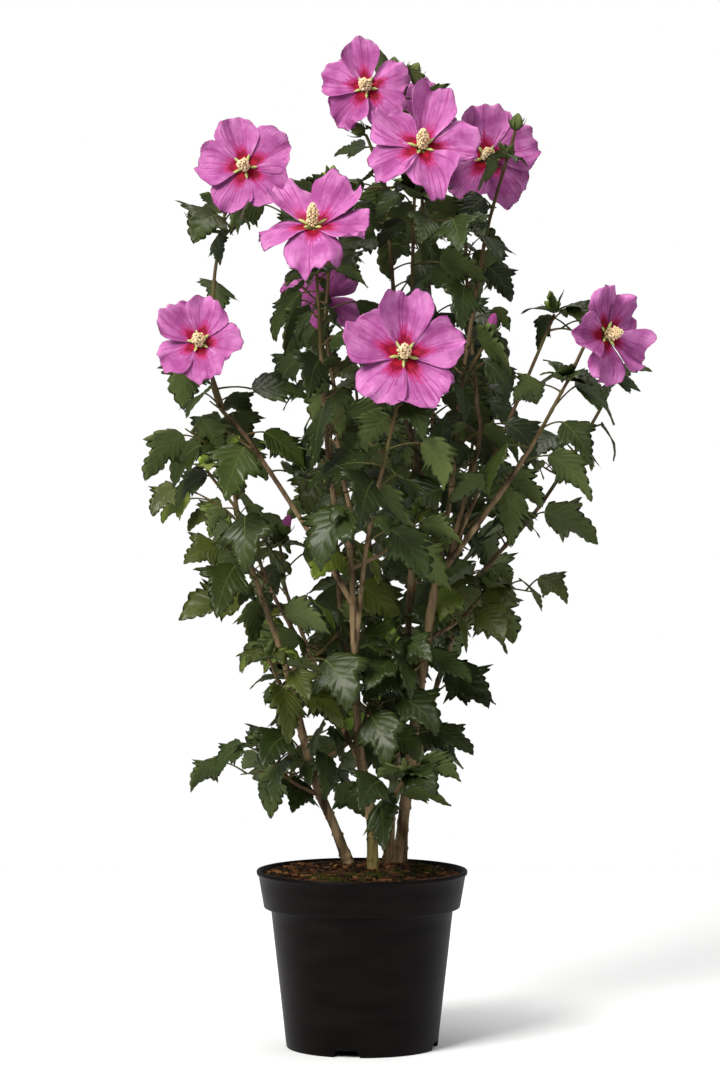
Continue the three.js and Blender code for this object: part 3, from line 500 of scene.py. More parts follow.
TWIG = SimpleNamespace(spacing=74, first=0.5, length=(22, 20), radius=1.2, tip=0.7, leaf_size=0.5,
                       leaf_spacing=9, bare=3, room=0.6, rise=34, bow=-0.08, young=9)
TUFT = [SimpleNamespace(leaves=3, length=(15, 11), slope=(88, 14), droop=(4, 16), young=True),
        SimpleNamespace(leaves=4, length=(26, 17), slope=(42, 26), droop=(55, 35), young=False)]
TUFT_FOOT, TUFT_ROLL = 2, 1.2
FLOWER_TUFT = SimpleNamespace(leaves=8, length=(27, 22), slope=(75, 60), droop=(60, 45))
YOUNG_TIPS = ("middle", "low_left", "slant_right", "low_right", "stem_left_spray_2",
              "stem_right_spray_3")


def twig_limb(kind, name, shoot, distance, turn, rise, length, bare, seed, tint):
    """A twig from a shoot's side, at a turn in radians and a rise in degrees. It bows upwards or
    sags by a part of its length."""
    start = chord_point(shoot, distance)
    tip = start + length * rising(turn, math.radians(rise))
    spine = Spine([start, (start + tip) / 2 + UP * kind.bow * length, tip])
    return Limb(name, spine, kind.radius, kind.tip, spine.length, start=bare, seed=seed,
                leaf_size=kind.leaf_size, spacing=kind.leaf_spacing, tint=tint)


def side_twigs(shoot, room, low, high):
    """Short side twigs up a shoot. Each bears smaller leaves by the leaf rule, and is kept where
    at least one of them finds room inside the plant's box."""
    draw = number_stream(shoot.seed + 7)
    twigs = []
    count = int((shoot.end - shoot.start) / TWIG.spacing)
    for i in range(count):
        distance = shoot.start + TWIG.spacing * (i + TWIG.first)
        turn = math.radians(LEAF.turn * i + 360 * draw())
        length = TWIG.length[0] + TWIG.length[1] * draw()
        tint = shoot.tint if (shoot.seed + i) % TWIG.young else "young"
        twig = twig_limb(TWIG, f"{shoot.name}_twig_{i}", shoot, distance, turn, TWIG.rise,
                         length, TWIG.bare, shoot.seed * 17 + i, tint)
        tip = twig.spine.points[-1]
        if (tip < low).any() or (tip > high).any():
            continue
        twig.leaves = grow_leaves(twig, room, shoot.name, TWIG.room)
        if twig.leaves:
            twigs.append(twig)
    return twigs


def edge_twig(name, part, heading, rise, length, seed):
    """A longer side twig that carries the crown's edge outwards, with leaves by the leaf rule."""
    shoot = next(shoot for shoot in plant.shoots if shoot.name == name)
    distance = shoot.start + (shoot.end - shoot.start) * part
    twig = twig_limb(EDGE_TWIG, f"{name}_edge", shoot, distance, math.radians(heading), rise,
                     length, length * EDGE_TWIG.bare, seed, shoot.tint)
    twig.leaves = grow_leaves(twig, plant.room, name, EDGE_TWIG.room)
    return twig


def tip_tuft(shoot, ring):
    """A ring of leaves round the tip of a shoot: small young ones stand up, larger ones arch."""
    draw = number_stream(shoot.seed + ring.leaves)
    tip = shoot.spine.points[-1]
    first_turn = 360 * draw()
    leaves = []
    for i in range(ring.leaves):
        turn = math.radians(first_turn + 360 * (i + 0.5 * draw()) / ring.leaves)
        base_slope = math.radians(ring.slope[0] - ring.slope[1] * draw())
        heading = level(turn)
        leaves.append(SimpleNamespace(
            root=tip, base=tip + (heading + UP) * TUFT_FOOT, heading=heading,
            base_slope=base_slope,
            tip_slope=base_slope - math.radians(ring.droop[0] + ring.droop[1] * draw()),
            roll=TUFT_ROLL * (draw() - 0.5), length=ring.length[0] + ring.length[1] * draw(),
            distance=shoot.spine.length, twist=draw()))
    return leaves


# Where the crown stands open: these leaves of a shoot, by their order up it, and these twigs
# are left off.
OPEN_LEAVES = {
    "low_right": (0, 10, 15, 19), "left": (7, 8, 9, 11), "right": (7, 8, 14),
    "slant_right": (2, 5, 6, 7), "stem_left_spray_4": (0,), "tall_back": (5,), "top": (8,),
    "back_right": (9,)}
OPEN_TWIGS = {
    "back_left_twig_2", "far_right_twig_1", "inner_left_twig_1", "left_twig_1", "left_twig_3",
    "low_left_twig_2", "low_right_twig_0", "low_right_twig_5", "right_twig_2", "right_twig_3",
    "slant_right_twig_1", "stem_centre_spray_4_twig_0", "stem_left_spray_2_twig_0",
    "stem_left_spray_3_twig_0", "stem_left_spray_4_twig_0", "tall_back_twig_2", "top_twig_2"}

EDGE_TWIG = SimpleNamespace(radius=1.5, tip=0.8, bare=0.3, bow=0.06, leaf_size=0.85,
                            leaf_spacing=17, room=0.5)
# The shoot, the part of its length, the heading and rise in degrees, the length and the seed.
EDGE_TWIGS = [
    ("left_tip", 0.9, 225, 35, 75, 8),
    ("left", 0.9, 315, 35, 45, 8),
    ("stem_right_spray_4", 0.9, 45, 0, 75, 8),
    ("middle", 0.4, 135, 0, 45, 8),
    ("stem_left_spray_1", 0.15, 90, 0, 75, 3),
    ("low_left", 0.4, 180, 35, 75, 8),
    ("stem_left_spray_1", 0.4, 135, 0, 75, 3),
    ("left", 0.15, 135, 35, 75, 8),
    ("stem_left_spray_1", 0.65, 0, 35, 75, 8),
    ("tall_back", 0.9, 315, 0, 75, 3),
    ("middle", 0.9, 135, 0, 75, 3),
    ("low_left", 0.65, 180, 35, 75, 3),
    ("slant_right", 0.9, 45, 0, 45, 8),
    ("back", 0.9, 225, 0, 75, 3),
    ("top", 0.95, 35, 80, 100, 8),
]

low, high = (np.array(corner) / MM for corner in frame_box)
twigs = [twig for shoot in plant.shoots for twig in side_twigs(shoot, plant.room, low, high)
         if twig.name not in OPEN_TWIGS]
for shoot in plant.shoots:
    shoot.leaves = [leaf for i, leaf in enumerate(shoot.leaves)
                    if i not in OPEN_LEAVES.get(shoot.name, ())]
edge_twigs = [edge_twig(*row) for row in EDGE_TWIGS]

# ---------------------------------------------------------------- meshes

# A shape is points, four-cornered faces, three-cornered faces, and each face's finish.


def shape(points, quads=(), tris=(), finish=0):
    quads = np.reshape(np.array(quads, int), (-1, 4))
    tris = np.reshape(np.array(tris, int), (-1, 3))
    finish = np.broadcast_to(finish, len(quads) + len(tris))
    return SimpleNamespace(points=np.reshape(points, (-1, 3)), quads=quads, tris=tris,
                           finish=finish)


def copies(points, quads=(), tris=(), finish=0):
    """One shape out of many alike: points is (how many, points of one, 3)."""
    count, size = points.shape[:2]
    first = np.arange(count)[:, None, None] * size
    quads = np.reshape(np.array(quads, int), (-1, 4))
    tris = np.reshape(np.array(tris, int), (-1, 3))
    finish = np.broadcast_to(finish, (count, len(quads) + len(tris)))
    split = finish[:, :len(quads)].ravel(), finish[:, len(quads):].ravel()
    return shape(points, quads + first, tris + first, np.concatenate(split))


def add_piece(name, shapes, finishes, nodes=(), smooth=True):
    """Joins shapes into one mesh object in metres, riding on the plant's one body."""
    mesh = bpy.data.meshes.new(name)
    sizes = np.cumsum([0] + [len(s.points) for s in shapes])
    points = np.concatenate([s.points for s in shapes]) * MM
    quads = np.concatenate([s.quads + n for s, n in zip(shapes, sizes)])
    tris = np.concatenate([s.tris + n for s, n in zip(shapes, sizes)])
    finish = np.concatenate([s.finish[:len(s.quads)] for s in shapes]
                            + [s.finish[len(s.quads):] for s in shapes])
    corners = np.concatenate([np.full(len(quads), 4), np.full(len(tris), 3)])
    mesh.vertices.add(len(points))
    mesh.vertices.foreach_set("co", points.ravel())
    mesh.loops.add(int(corners.sum()))
    mesh.loops.foreach_set("vertex_index", np.concatenate([quads.ravel(), tris.ravel()]))
    mesh.polygons.add(len(corners))
    mesh.polygons.foreach_set("loop_start", np.cumsum(corners) - corners)
    mesh.polygons.foreach_set("material_index", finish.astype(np.int32))
    mesh.polygons.foreach_set("use_smooth", np.full(len(corners), smooth))
    for material in finishes:
        mesh.materials.append(material)
    mesh.update(calc_edges=True)
    mesh.validate()
    piece = bpy.data.objects.new(name, mesh)
    bpy.context.scene.collection.objects.link(piece)
    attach(piece, "root")
    if nodes:
        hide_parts(*nodes)


def grid_quads(rows, columns, ring=False):
    """Faces of a grid of points, row by row. A ring's last column meets its first."""
    row = np.arange(rows - 1)[:, None] * columns
    column = np.arange(columns if ring else columns - 1)
    following = (column + 1) % columns
    return np.stack([row + column, row + following, row + columns + following,
                     row + columns + column], -1).reshape(-1, 4)


def around(sides):
    return 2 * np.pi * np.arange(sides) / sides


def polar(radius, angle, height):
    """Points at a radius and an angle round the upright axis, and at a height."""
    return np.stack(np.broadcast_arrays(radius * np.cos(angle), radius * np.sin(angle), height),
                    -1)


def end_fans(rows, sides):
    """Faces that close a grid of rings at both ends, from the two points that come after it."""
    here = np.arange(sides)
    following = (here + 1) % sides
    foot, last = rows * sides, (rows - 1) * sides
    return np.concatenate([np.stack([here * 0 + foot, following, here], -1),
                           np.stack([here * 0 + foot + 1, last + here, last + following], -1)])


def tube_points(paths, radii, sides):
    """Tubes round paths: a ring of points stands square to each path, at its radius. The
    rings start from one side that keeps square to the path's direction."""
    along = unit(np.gradient(paths, axis=-2))
    chord = unit(paths[..., -1:, :] - paths[..., :1, :])
    least = np.eye(3)[np.argmin(np.abs(chord), axis=-1)]
    side = unit(np.cross(along, np.broadcast_to(least, along.shape)))
    across = np.cross(along, side)
    angle = around(sides)
    ring = (side[..., None, :] * np.cos(angle)[:, None]
            + across[..., None, :] * np.sin(angle)[:, None])
    return paths[..., None, :] + ring * radii[..., None]


def tubes(paths, radii, sides):
    """Closed tubes round many paths of as many points: rings, and a fan over each end."""
    count, steps = paths.shape[:2]
    rings = tube_points(paths, np.broadcast_to(np.array(radii)[..., None], (count, steps, 1)),
                        sides).reshape(count, -1, 3)
    points = np.concatenate([rings, paths[:, :1], paths[:, -1:]], axis=1)
    return copies(points, grid_quads(steps, sides, ring=True), end_fans(steps, sides))


def sheets(upper, lower, top, under):
    """Thin closed sheets, each from an upper and a lower grid of points that share their edge.
    Rows run forward and columns to the left of the way forward, as seen from above."""
    count, rows, columns = upper.shape[:3]
    edge = np.ones((rows, columns), bool)
    edge[1:-1, 1:-1] = False
    beneath = np.arange(rows * columns).reshape(rows, columns)
    beneath[~edge] = rows * columns + np.arange((~edge).sum())
    points = np.concatenate([upper.reshape(count, -1, 3), lower[:, ~edge]], axis=1)
    above = grid_quads(rows, columns)
    quads = np.concatenate([above[:, ::-1], beneath.ravel()[above]])
    both = [np.broadcast_to(f, (count, rows - 1, columns - 1)).reshape(count, -1)
            for f in (top, under)]
    return copies(points, quads, finish=np.concatenate(both, axis=1))


def closed(rings, foot, tip):
    """A grid of rings, closed by a fan from a point at each end."""
    rows, sides = rings.shape[:2]
    points = np.concatenate([rings.reshape(-1, 3), [foot], [tip]])
    return shape(points, grid_quads(rows, sides, ring=True), end_fans(rows, sides))


def ball(sides, rings):
    """A ball of radius 1: rings of points between two poles, its axis upright."""
    down = np.pi * np.arange(1, rings + 1) / (rings + 1)
    profile = [(0, -1), *zip(np.sin(down), -np.cos(down)), (0, 1)]
    return lathe(profile, sides)


RING_SWELL, RING_REACH = 0.2, 2.6


def limb_tube(limb, end, step, sides, relief, rings=(), zones=((1, 0),)):
    """A limb with its bark: the taper times one plus the relief, which is a function of the
    distance and the angle, and swollen a little at each ring where a leaf or twig stands. Each
    zone is the part of the length where it ends, and its finish. The ends wander round it."""
    count = max(4, int(end / step))
    distance = np.linspace(0, end, count)
    path = limb.spine.point(distance)
    angle = around(sides)
    radius = limb.radius(distance)[:, None] * (1 + relief(distance[:, None], angle))
    for ring in rings:
        radius *= 1 + RING_SWELL * np.exp(-((distance[:, None] - ring) / RING_REACH) ** 2)
    tube = closed(tube_points(path, radius, sides), path[0], path[-1])
    ends, finishes = zip(*zones)
    wander = 0.02 * np.sin(2 * angle + 1) + 0.012 * np.sin(5 * angle)
    row = np.searchsorted(ends, np.clip(np.arange(count - 1)[:, None] / count + wander, 0, 1))
    rows = np.array(finishes)[row].ravel()
    caps = np.repeat([finishes[0], finishes[-1]], sides)
    tube.finish = np.concatenate([rows, caps])
    return tube


def lathe(profile, sides):
    """A profile of (radius, height) turned round the upright axis. Both ends lie on the axis."""
    profile = np.array(profile, float)
    rings = polar(profile[1:-1, :1], around(sides), profile[1:-1, 1:])
    return closed(rings, (0, 0, profile[0, 1]), (0, 0, profile[-1, 1]))


# ---------------------------------------------------------------- finishes

NOISE_DETAIL = 4


def add_node(tree, kind, settings=None, inputs=None, output=0):
    """Adds a shader node: settings first, then a value or a link for each named or numbered
    input. Returns one of its outputs."""
    node = tree.nodes.new(kind)
    for key, setting in (settings or {}).items():
        if key == "stops":
            place_stops(node.color_ramp.elements, setting)
        else:
            setattr(node, key, setting)
    for key, given in (inputs or {}).items():
        if isinstance(given, bpy.types.NodeSocket):
            tree.links.new(given, node.inputs[key])
        else:
            node.inputs[key].default_value = given
    return node.outputs[output]


def place_stops(elements, stops):
    while len(elements) < len(stops):
        elements.new(1)
    for element, (place, colour) in zip(elements, stops):
        element.position, element.color = place, colour


def noise(tree, scale, stretch):
    """Soft noise in the object's own space."""
    place = add_node(tree, "ShaderNodeTexCoord", output="Object")
    place = add_node(tree, "ShaderNodeMapping", inputs={"Vector": place, "Scale": stretch})
    return add_node(tree, "ShaderNodeTexNoise",
                    inputs={"Vector": place, "Scale": scale, "Detail": NOISE_DETAIL})


def finish(name, colour, roughness, other=None, scale=20, contrast=(0.35, 0.65), bump=0.0,
           bump_scale=300, depth=1, stretch=(1, 1, 1), shine=0.5):
    """A material: one colour that wanders to another with soft noise, and a fine grain that
    bumps it."""
    material = bpy.data.materials.new(name)
    material.use_nodes = True
    tree = material.node_tree
    shader = tree.nodes["Principled BSDF"]
    colour = (*colour, 1)
    shader.inputs["Base Color"].default_value = colour
    shader.inputs["Roughness"].default_value = roughness
    shader.inputs["Specular IOR Level"].default_value = shine
    if other:
        stops = [(contrast[0], colour), (contrast[1], (*other, 1))]
        wander = add_node(tree, "ShaderNodeValToRGB", {"stops": stops},
                          {"Fac": noise(tree, scale, stretch)})
        tree.links.new(wander, shader.inputs["Base Color"])
    if bump:
        grain = noise(tree, bump_scale, stretch)
        raised = add_node(tree, "ShaderNodeBump",
                          inputs={"Strength": bump, "Distance": depth * MM, "Height": grain})
        tree.links.new(raised, shader.inputs["Normal"])
    return material


# Two leaf tops for each tint: the colour and the one that it wanders to.
LEAF_COLOURS = {
    "dark": [((0.0095, 0.016, 0.003), (0.019, 0.03, 0.006)),
             ((0.018, 0.03, 0.006), (0.028, 0.045, 0.009))],
    "mid": [((0.015, 0.024, 0.004), (0.027, 0.04, 0.007)),
            ((0.026, 0.042, 0.007), (0.04, 0.06, 0.01))],
    "olive": [((0.032, 0.041, 0.006), (0.054, 0.066, 0.009)),
              ((0.07, 0.096, 0.014), (0.11, 0.146, 0.02))],
    "young": [((0.17, 0.26, 0.03), (0.25, 0.36, 0.05)),
              ((0.12, 0.2, 0.025), (0.19, 0.29, 0.04))]}
LEAF_TOPS = {tint: [finish(f"leaf_{tint}_{i}", first, 0.39, other, 26, bump=0.5, bump_scale=90,
                           depth=1.5, shine=0.26) for i, (first, other) in enumerate(pairs)]
             for tint, pairs in LEAF_COLOURS.items()}
LEAF_UNDER = finish("leaf_under", (0.05, 0.068, 0.02), 0.6, (0.07, 0.09, 0.027), 30, shine=0.12)
LEAF_VEIN = finish("leaf_vein", (0.085, 0.115, 0.03), 0.5, shine=0.12)
YOUNG_VEIN = finish("young_vein", (0.26, 0.37, 0.08), 0.5, shine=0.12)
PETIOLE = finish("petiole", (0.06, 0.066, 0.018), 0.5, (0.075, 0.045, 0.02), 40, shine=0.12)

# ---------------------------------------------------------------- leaves

# Ribs of half a leaf, as parts of its length: where each leaves the midrib, and where along and
# how far out it ends. The fifth reaches the side lobe's tip, the seventh the bay after it.
LEAF_RIBS = np.array([
    (0.0, 0.01, 0.05), (0.01, 0.04, 0.19), (0.02, 0.13, 0.31), (0.03, 0.28, 0.39),
    (0.05, 0.44, 0.49), (0.14, 0.48, 0.34), (0.24, 0.52, 0.205), (0.38, 0.65, 0.22),
    (0.55, 0.78, 0.17), (0.74, 0.9, 0.085), (0.96, 1.0, 0.004)])
TOOTH = (-0.06, 0.035, 0.05)
MIDRIB = 0.013
BLADE_THICKNESS = 0.7
PUFF = 0.012
WAVE = 0.03
LOBE_DROOP = 0.22
NARROWEST = 0.76
EDGE_CURL = 0.1
BAY = SimpleNamespace(widening=0.42, place=0.55, reach=0.12)
MIDRIB_RISE = 0.007
PALE_SHARE = 0.34
UNDER, VEIN = 2, 3
# A leaf stalk's bend: how far along the way and how far above it.
STALK_BEND = (0.6, 0.13)


def blade_pattern(ribs, steps):
    """A grid over one leaf: row r is a rib from the midrib to the edge, and the columns are the
    steps along it on both sides. Each three ribs make one blunt tooth: its notch, its shoulder
    and its tip. Returns along, out, the step along the rib and how far its tooth stands out."""
    part = np.linspace(0, 1, ribs)
    key = np.linspace(0, 1, len(LEAF_RIBS))
    start, along, out = (np.interp(part, key, column) for column in LEAF_RIBS.T)
    sign = np.array(TOOTH)[np.arange(ribs) % 3]
    tooth = sign * np.minimum(out / 0.3, 1)
    reach = np.array([*steps[::-1], *steps])
    side = np.repeat([-1, 1], len(steps))
    along = start[:, None] + reach * (along + 0.3 * tooth - start)[:, None]
    spread = side * (MIDRIB * (1 - 0.97 * part)[:, None] + reach * (out + 0.6 * tooth)[:, None])
    return along, spread, np.broadcast_to(reach, along.shape), np.broadcast_to(
        sign[:, None], along.shape)


def own(twist, factor):
    """Another number from 0 to 1 of a leaf's own, out of its twist."""
    return twist * factor % 1


def leaf_shape(leaves, detail):
    """Thin closed blades. Each has an upper and an under sheet that share their edge. Between
    ribs the sheet puffs up, the edge waves, and the lobes droop with the square of the way out."""
    many = SimpleNamespace(**{key: np.array([getattr(leaf, key) for leaf in leaves])
                              for key in vars(leaves[0])})
    along, out, reach, sign = blade_pattern(detail.ribs, detail.steps)
    twist = many.twist[:, None, None]
    length = many.length[:, None, None]
    narrow = NARROWEST + (1 - NARROWEST) * own(twist, 7.31)
    wave = np.sin(2 * np.pi * (1.3 * along + 2 * twist) + np.where(out > 0, 1.4, 0))
    lift = length * (PUFF * -sign / TOOTH[2] * reach * (1 - reach) * 4 + WAVE * wave * reach ** 2
                     + MIDRIB_RISE * (reach == 0) - LOBE_DROOP * out ** 2)
    curl = 1 + EDGE_CURL * np.sin(2 * np.pi * (along * 2.1 + 5 * twist)) * reach
    bay = BAY.widening * own(twist, 5.17) * np.exp(-((along - BAY.place) / BAY.reach) ** 2)
    spread = out * narrow * curl * (1 + bay)
    along = np.broadcast_to(along, spread.shape)
    upper = blade_points(many, along, spread, lift)
    thick = BLADE_THICKNESS * (1 - reach ** 4)
    lower = blade_points(many, along, spread, lift - thick)
    strip = np.arange(upper.shape[2] - 1) == upper.shape[2] // 2 - 1
    strip = np.tile(strip, (upper.shape[1] - 1, 1))
    shade = (own(many.twist, 13.7) < PALE_SHARE).astype(int)[:, None, None]
    return sheets(upper, lower, np.where(strip, VEIN, shade), np.where(strip, VEIN, UNDER))


def leaf_stalks(limb, detail):
    """A limb's leaf stalks: a curve from the wood out to the blade's foot, as (1-t)^2 root +
    2t(1-t) bend + t^2 foot, with the bend above the middle of the way."""
    root = np.array([limb.spine.point(leaf.distance) for leaf in limb.leaves])[:, None]
    foot = np.array([leaf.base for leaf in limb.leaves])[:, None]
    way = np.linalg.norm(foot - root, axis=-1, keepdims=True)
    bend = root + STALK_BEND[0] * (foot - root) + UP * STALK_BEND[1] * way
    t = np.linspace(0, 1, 6)[:, None]
    path = (1 - t) ** 2 * root + 2 * t * (1 - t) * bend + t ** 2 * foot
    swell = detail.stalk * (1 + 0.5 * (1 - t[:, 0]) ** 4 + 0.25 * t[:, 0] ** 6)
    return tubes(path, np.broadcast_to(swell, path.shape[:2]), detail.sides)


# How finely a leaf is drawn, and its stalk's radius and sides.
FULL = SimpleNamespace(ribs=28, steps=(0, 0.36, 0.7, 1), stalk=LEAF.petiole_radius, sides=5)
SMALL = SimpleNamespace(ribs=16, steps=(0, 0.52, 1), stalk=0.6, sides=4)

by_tint = {tint: [] for tint in LEAF_TOPS}
stalks = []
for limbs, detail in ((plant.shoots, FULL), (edge_twigs, FULL), (twigs, SMALL)):
    for limb in limbs:
        by_tint[limb.tint].append(leaf_shape(limb.leaves, detail))
        stalks.append(leaf_stalks(limb, detail))
flowering = {on for on, at, *_ in FLOWERS if at == 1}
for shoot in plant.shoots:
    if shoot.name in flowering:
        tuft = [leaf for leaf in tip_tuft(shoot, FLOWER_TUFT)
                if plant.room.free(*leaf_feelers(leaf, TWIG.room), shoot.name)]
        if tuft:
            by_tint[shoot.tint].append(leaf_shape(tuft, FULL))
        continue
    for ring in TUFT:
        tint = "young" if ring.young and shoot.name in YOUNG_TIPS else shoot.tint
        by_tint[tint].append(leaf_shape(tip_tuft(shoot, ring), SMALL))
for tint, shapes in by_tint.items():
    vein = YOUNG_VEIN if tint == "young" else LEAF_VEIN
    nodes = [f"foliage_{shoot.name}" for shoot in plant.shoots if shoot.tint == tint]
    add_piece(f"leaves_{tint}", shapes, [*LEAF_TOPS[tint], LEAF_UNDER, vein], nodes)
add_piece("leaf_stalks", stalks, [PETIOLE])

# ---------------------------------------------------------------- wood

BARK = finish("bark", (0.2, 0.14, 0.077), 0.8, (0.034, 0.022, 0.011), 90, (0.38, 0.62), 1,
              170, 1.5, (1, 1, 0.14), shine=0.1)
GREEN_BARK = finish("green_bark", (0.17, 0.14, 0.045), 0.75, (0.035, 0.028, 0.011), 70,
                    (0.38, 0.62), 1, 170, 1.5, (1, 1, 0.2), shine=0.1)
YOUNG_BARK = finish("young_bark", (0.15, 0.1, 0.055), 0.7, (0.045, 0.028, 0.015), 80,
                    (0.4, 0.62), 0.8, 200, stretch=(1, 1, 0.14), shine=0.12)
GREEN_SHOOT = finish("green_shoot", (0.085, 0.074, 0.026), 0.6, (0.075, 0.042, 0.02), 40, bump=0.3,
                     shine=0.12)


def old_relief(phase):
    """Bark of a stem: shallow furrows that wander round it, and scars every few centimetres."""
    def relief(distance, angle):
        furrows = (0.06 * np.sin(2 * angle + distance / 14 + phase)
                   + 0.045 * np.sin(5 * angle - distance / 9 + 2 * phase)
                   + 0.03 * np.sin(11 * angle + 1.6 * np.sin(distance / 7)))
        scar = (distance + 5 * np.sin(phase) + 3 * np.sin(angle + phase)) % 23 - 11
        return furrows + 0.16 * np.exp(-(scar / 1.9) ** 2) * (1 + 0.9 * np.sin(angle + distance))
    return relief


def young_relief(phase):
    return lambda distance, angle: 0.03 * np.sin(5 * angle + distance / 15 + phase)


def flared(limb, start=0, flare=0.35, reach=14):
    """The limb with its foot widened: the taper times 1 + flare x e^(-distance / reach)."""
    taper = limb.radius
    wide = SimpleNamespace(spine=limb.spine)
    wide.radius = lambda d: taper(d) * (1 + flare * np.exp(-np.maximum(0, d - start) / reach))
    return wide


# The middle stem has green bark at its foot.
stem_tubes = []
for i, stem in enumerate(STEMS):
    limb = plant.limbs[stem["name"]]
    zones = [(0.17, int(stem["name"] == "stem_centre")), (1, 0)]
    stem_tubes.append(limb_tube(flared(limb, SOIL_LEVEL - stem["bends"][0][2]), limb.end + 2,
                                2.4, 22, old_relief(1.7 * i), zones=zones))
add_piece("stems", stem_tubes, [BARK, GREEN_BARK], [stem["name"] for stem in STEMS])

bough_tubes, twig_tubes = [], []
for i, shoot in enumerate(plant.shoots):
    rings = [leaf.distance for leaf in shoot.leaves]
    if shoot.name in plant.limbs:
        bough_tubes.append(limb_tube(flared(shoot, 0, 0.3, 9), shoot.spine.length, 3, 12,
                                     young_relief(i), rings, [(0.3, 0), (0.72, 1), (1, 2)]))
    else:
        twig_tubes.append(limb_tube(flared(shoot, 0, 0.4, 6), shoot.spine.length, 3, 8,
                                    young_relief(i), rings, [(0.4, 0), (1, 1)]))
    for stalk in shoot.stalks:
        twig_tubes.append(limb_tube(stalk, stalk.end, 5, 8, young_relief(i), zones=[(1, 1)]))
for i, twig in enumerate(twigs + edge_twigs):
    twig_tubes.append(limb_tube(flared(twig, 0, 0.5, 3), twig.spine.length, 5, 6,
                                young_relief(i), zones=[(0.35, 0), (1, 1)]))
add_piece("boughs", bough_tubes, [BARK, YOUNG_BARK, GREEN_SHOOT],
          [f"bough_{name}" for name, *_ in BOUGHS])
add_piece("twigs", twig_tubes, [YOUNG_BARK, GREEN_SHOOT])

# ---------------------------------------------------------------- flowers

PETAL_SHADES = [
    finish("petal_heart", (0.3, 0.006, 0.024), 0.6, shine=0.1),
    finish("petal_eye", (0.19, 0.004, 0.026), 0.6, shine=0.1),
    finish("petal_flame", (0.31, 0.012, 0.07), 0.6, shine=0.1),
    finish("petal_streak", (0.35, 0.038, 0.17), 0.6, shine=0.1),
    finish("petal_vein", (0.25, 0.045, 0.18), 0.6, (0.34, 0.075, 0.26), 50, shine=0.1),
    finish("petal", (0.28, 0.055, 0.215), 0.6, (0.45, 0.14, 0.375), 50, shine=0.1),
    finish("petal_pale", (0.31, 0.07, 0.245), 0.6, (0.5, 0.185, 0.42), 50, shine=0.1),
]
STAMEN = finish("stamen", (0.62, 0.47, 0.26), 0.8, (0.82, 0.7, 0.46), 160, shine=0.1)
# The column's core is a darker tan than its knobs: painted shade for the gaps between the knobs.
STAMEN_CORE_SHADE = finish("stamen_core", (0.5, 0.34, 0.2), 0.8, shine=0.1)
HEART_GREEN = finish("heart_green", (0.42, 0.5, 0.17), 0.6, shine=0.1)
CALYX_GREEN = finish("calyx_green", (0.1, 0.13, 0.035), 0.55, (0.055, 0.075, 0.02), 60,
                     shine=0.12)
BRACT_GREEN = finish("bract_green", (0.045, 0.058, 0.018), 0.6, shine=0.12)

PETAL_ROWS, PETAL_COLUMNS = 25, 37
# Half a petal's width along its length, both as parts of the petal.
PETAL_WIDTH = [(0, 0.1), (0.12, 0.135), (0.3, 0.24), (0.5, 0.37), (0.7, 0.46), (0.85, 0.48),
               (1, 0.42)]
PETAL_ROUND = 0.24
PETAL_RUFFLE = 0.1
PETAL_TROUGH = 0.08
PETAL_LEAN = 0.36
PETAL_CURL = (-0.2, 0.46)
PETAL_WIDE = (0.86, 0.24)
PETAL_LONG = (0.93, 0.12)
PETAL_STRAY = 9
PETAL_THICKNESS = 0.6
EYE_REACH = 0.42
# The finishes of a petal that are named in its pattern, by their place in PETAL_SHADES.
VEINED, PLAIN, PALE = 4, 5, 6
RIBBED_SIDES = 20
BRACT = SimpleNamespace(count=7, reach=7, ring=2.6, steps=6)


def petal_shape(flower, seed):
    """Five petals. A petal's rows run from the claw to the rim, and at a part v of its length
    it is as wide as the table says. The rim is 1 - round |u|^2.6 with a ragged edge. The height
    is a trough, ruffles that grow with v squared, a lean of the whole petal and a curl of its
    edges, and every other column is sunk to make the fine ribs."""
    v = np.linspace(0, 1, PETAL_ROWS)[:, None]
    u = np.linspace(-1, 1, PETAL_COLUMNS)
    width = np.interp(v, *zip(*PETAL_WIDTH))
    rib = (-1.0) ** np.arange(PETAL_COLUMNS)
    upper, lower, shades = [], [], []
    for k in range(PETAL.count):
        draw = number_stream(seed * 10 + k)
        phases = [2 * math.pi * draw() for _ in range(5)]
        wide = PETAL_WIDE[0] + PETAL_WIDE[1] * draw()
        long = PETAL_LONG[0] + PETAL_LONG[1] * draw()
        skew = 0.5 * (draw() - 0.5)
        rim = long * (1 - PETAL_ROUND * np.abs(u) ** 2.6 + 0.03 * np.sin(4.3 * u + phases[0])
                      + 0.016 * np.sin(12 * u + phases[1]) + 0.006 * rib)
        along, out = v * (rim + skew * 0.2 * u), u * width * wide
        ruffle = (np.sin(4.4 * u + phases[2]) * v ** 2 + 0.5 * np.sin(10 * u + phases[3]) * v ** 5
                  + 0.7 * np.sin(phases[4] + 2.4 * v) * u ** 2 * v)
        lean = PETAL_LEAN * (draw() - 0.5) * v ** 2
        curl = (PETAL_CURL[0] + PETAL_CURL[1] * draw()) * u ** 2 * v
        trough = -PETAL_TROUGH * (1 - u ** 2) * np.sin(np.pi * v)
        lift = flower.petal * (PETAL_RUFFLE * ruffle + lean + curl + trough
                               + 0.004 * rib * np.sin(np.pi * v))
        turn = np.full(along.shape, 360 * k / PETAL.count + PETAL_STRAY * (draw() - 0.5))
        upper.append(petal_points(flower, turn, along, out, lift))
        lower.append(petal_points(flower, turn, along, out,
                                  lift - PETAL_THICKNESS * (1 - v ** 6) * (1 - u ** 6)))
        shades.append(petal_shades(draw))
    shades = np.array(shades)
    under = np.maximum(shades, VEINED)
    return sheets(np.array(upper), np.array(lower), shades, under)


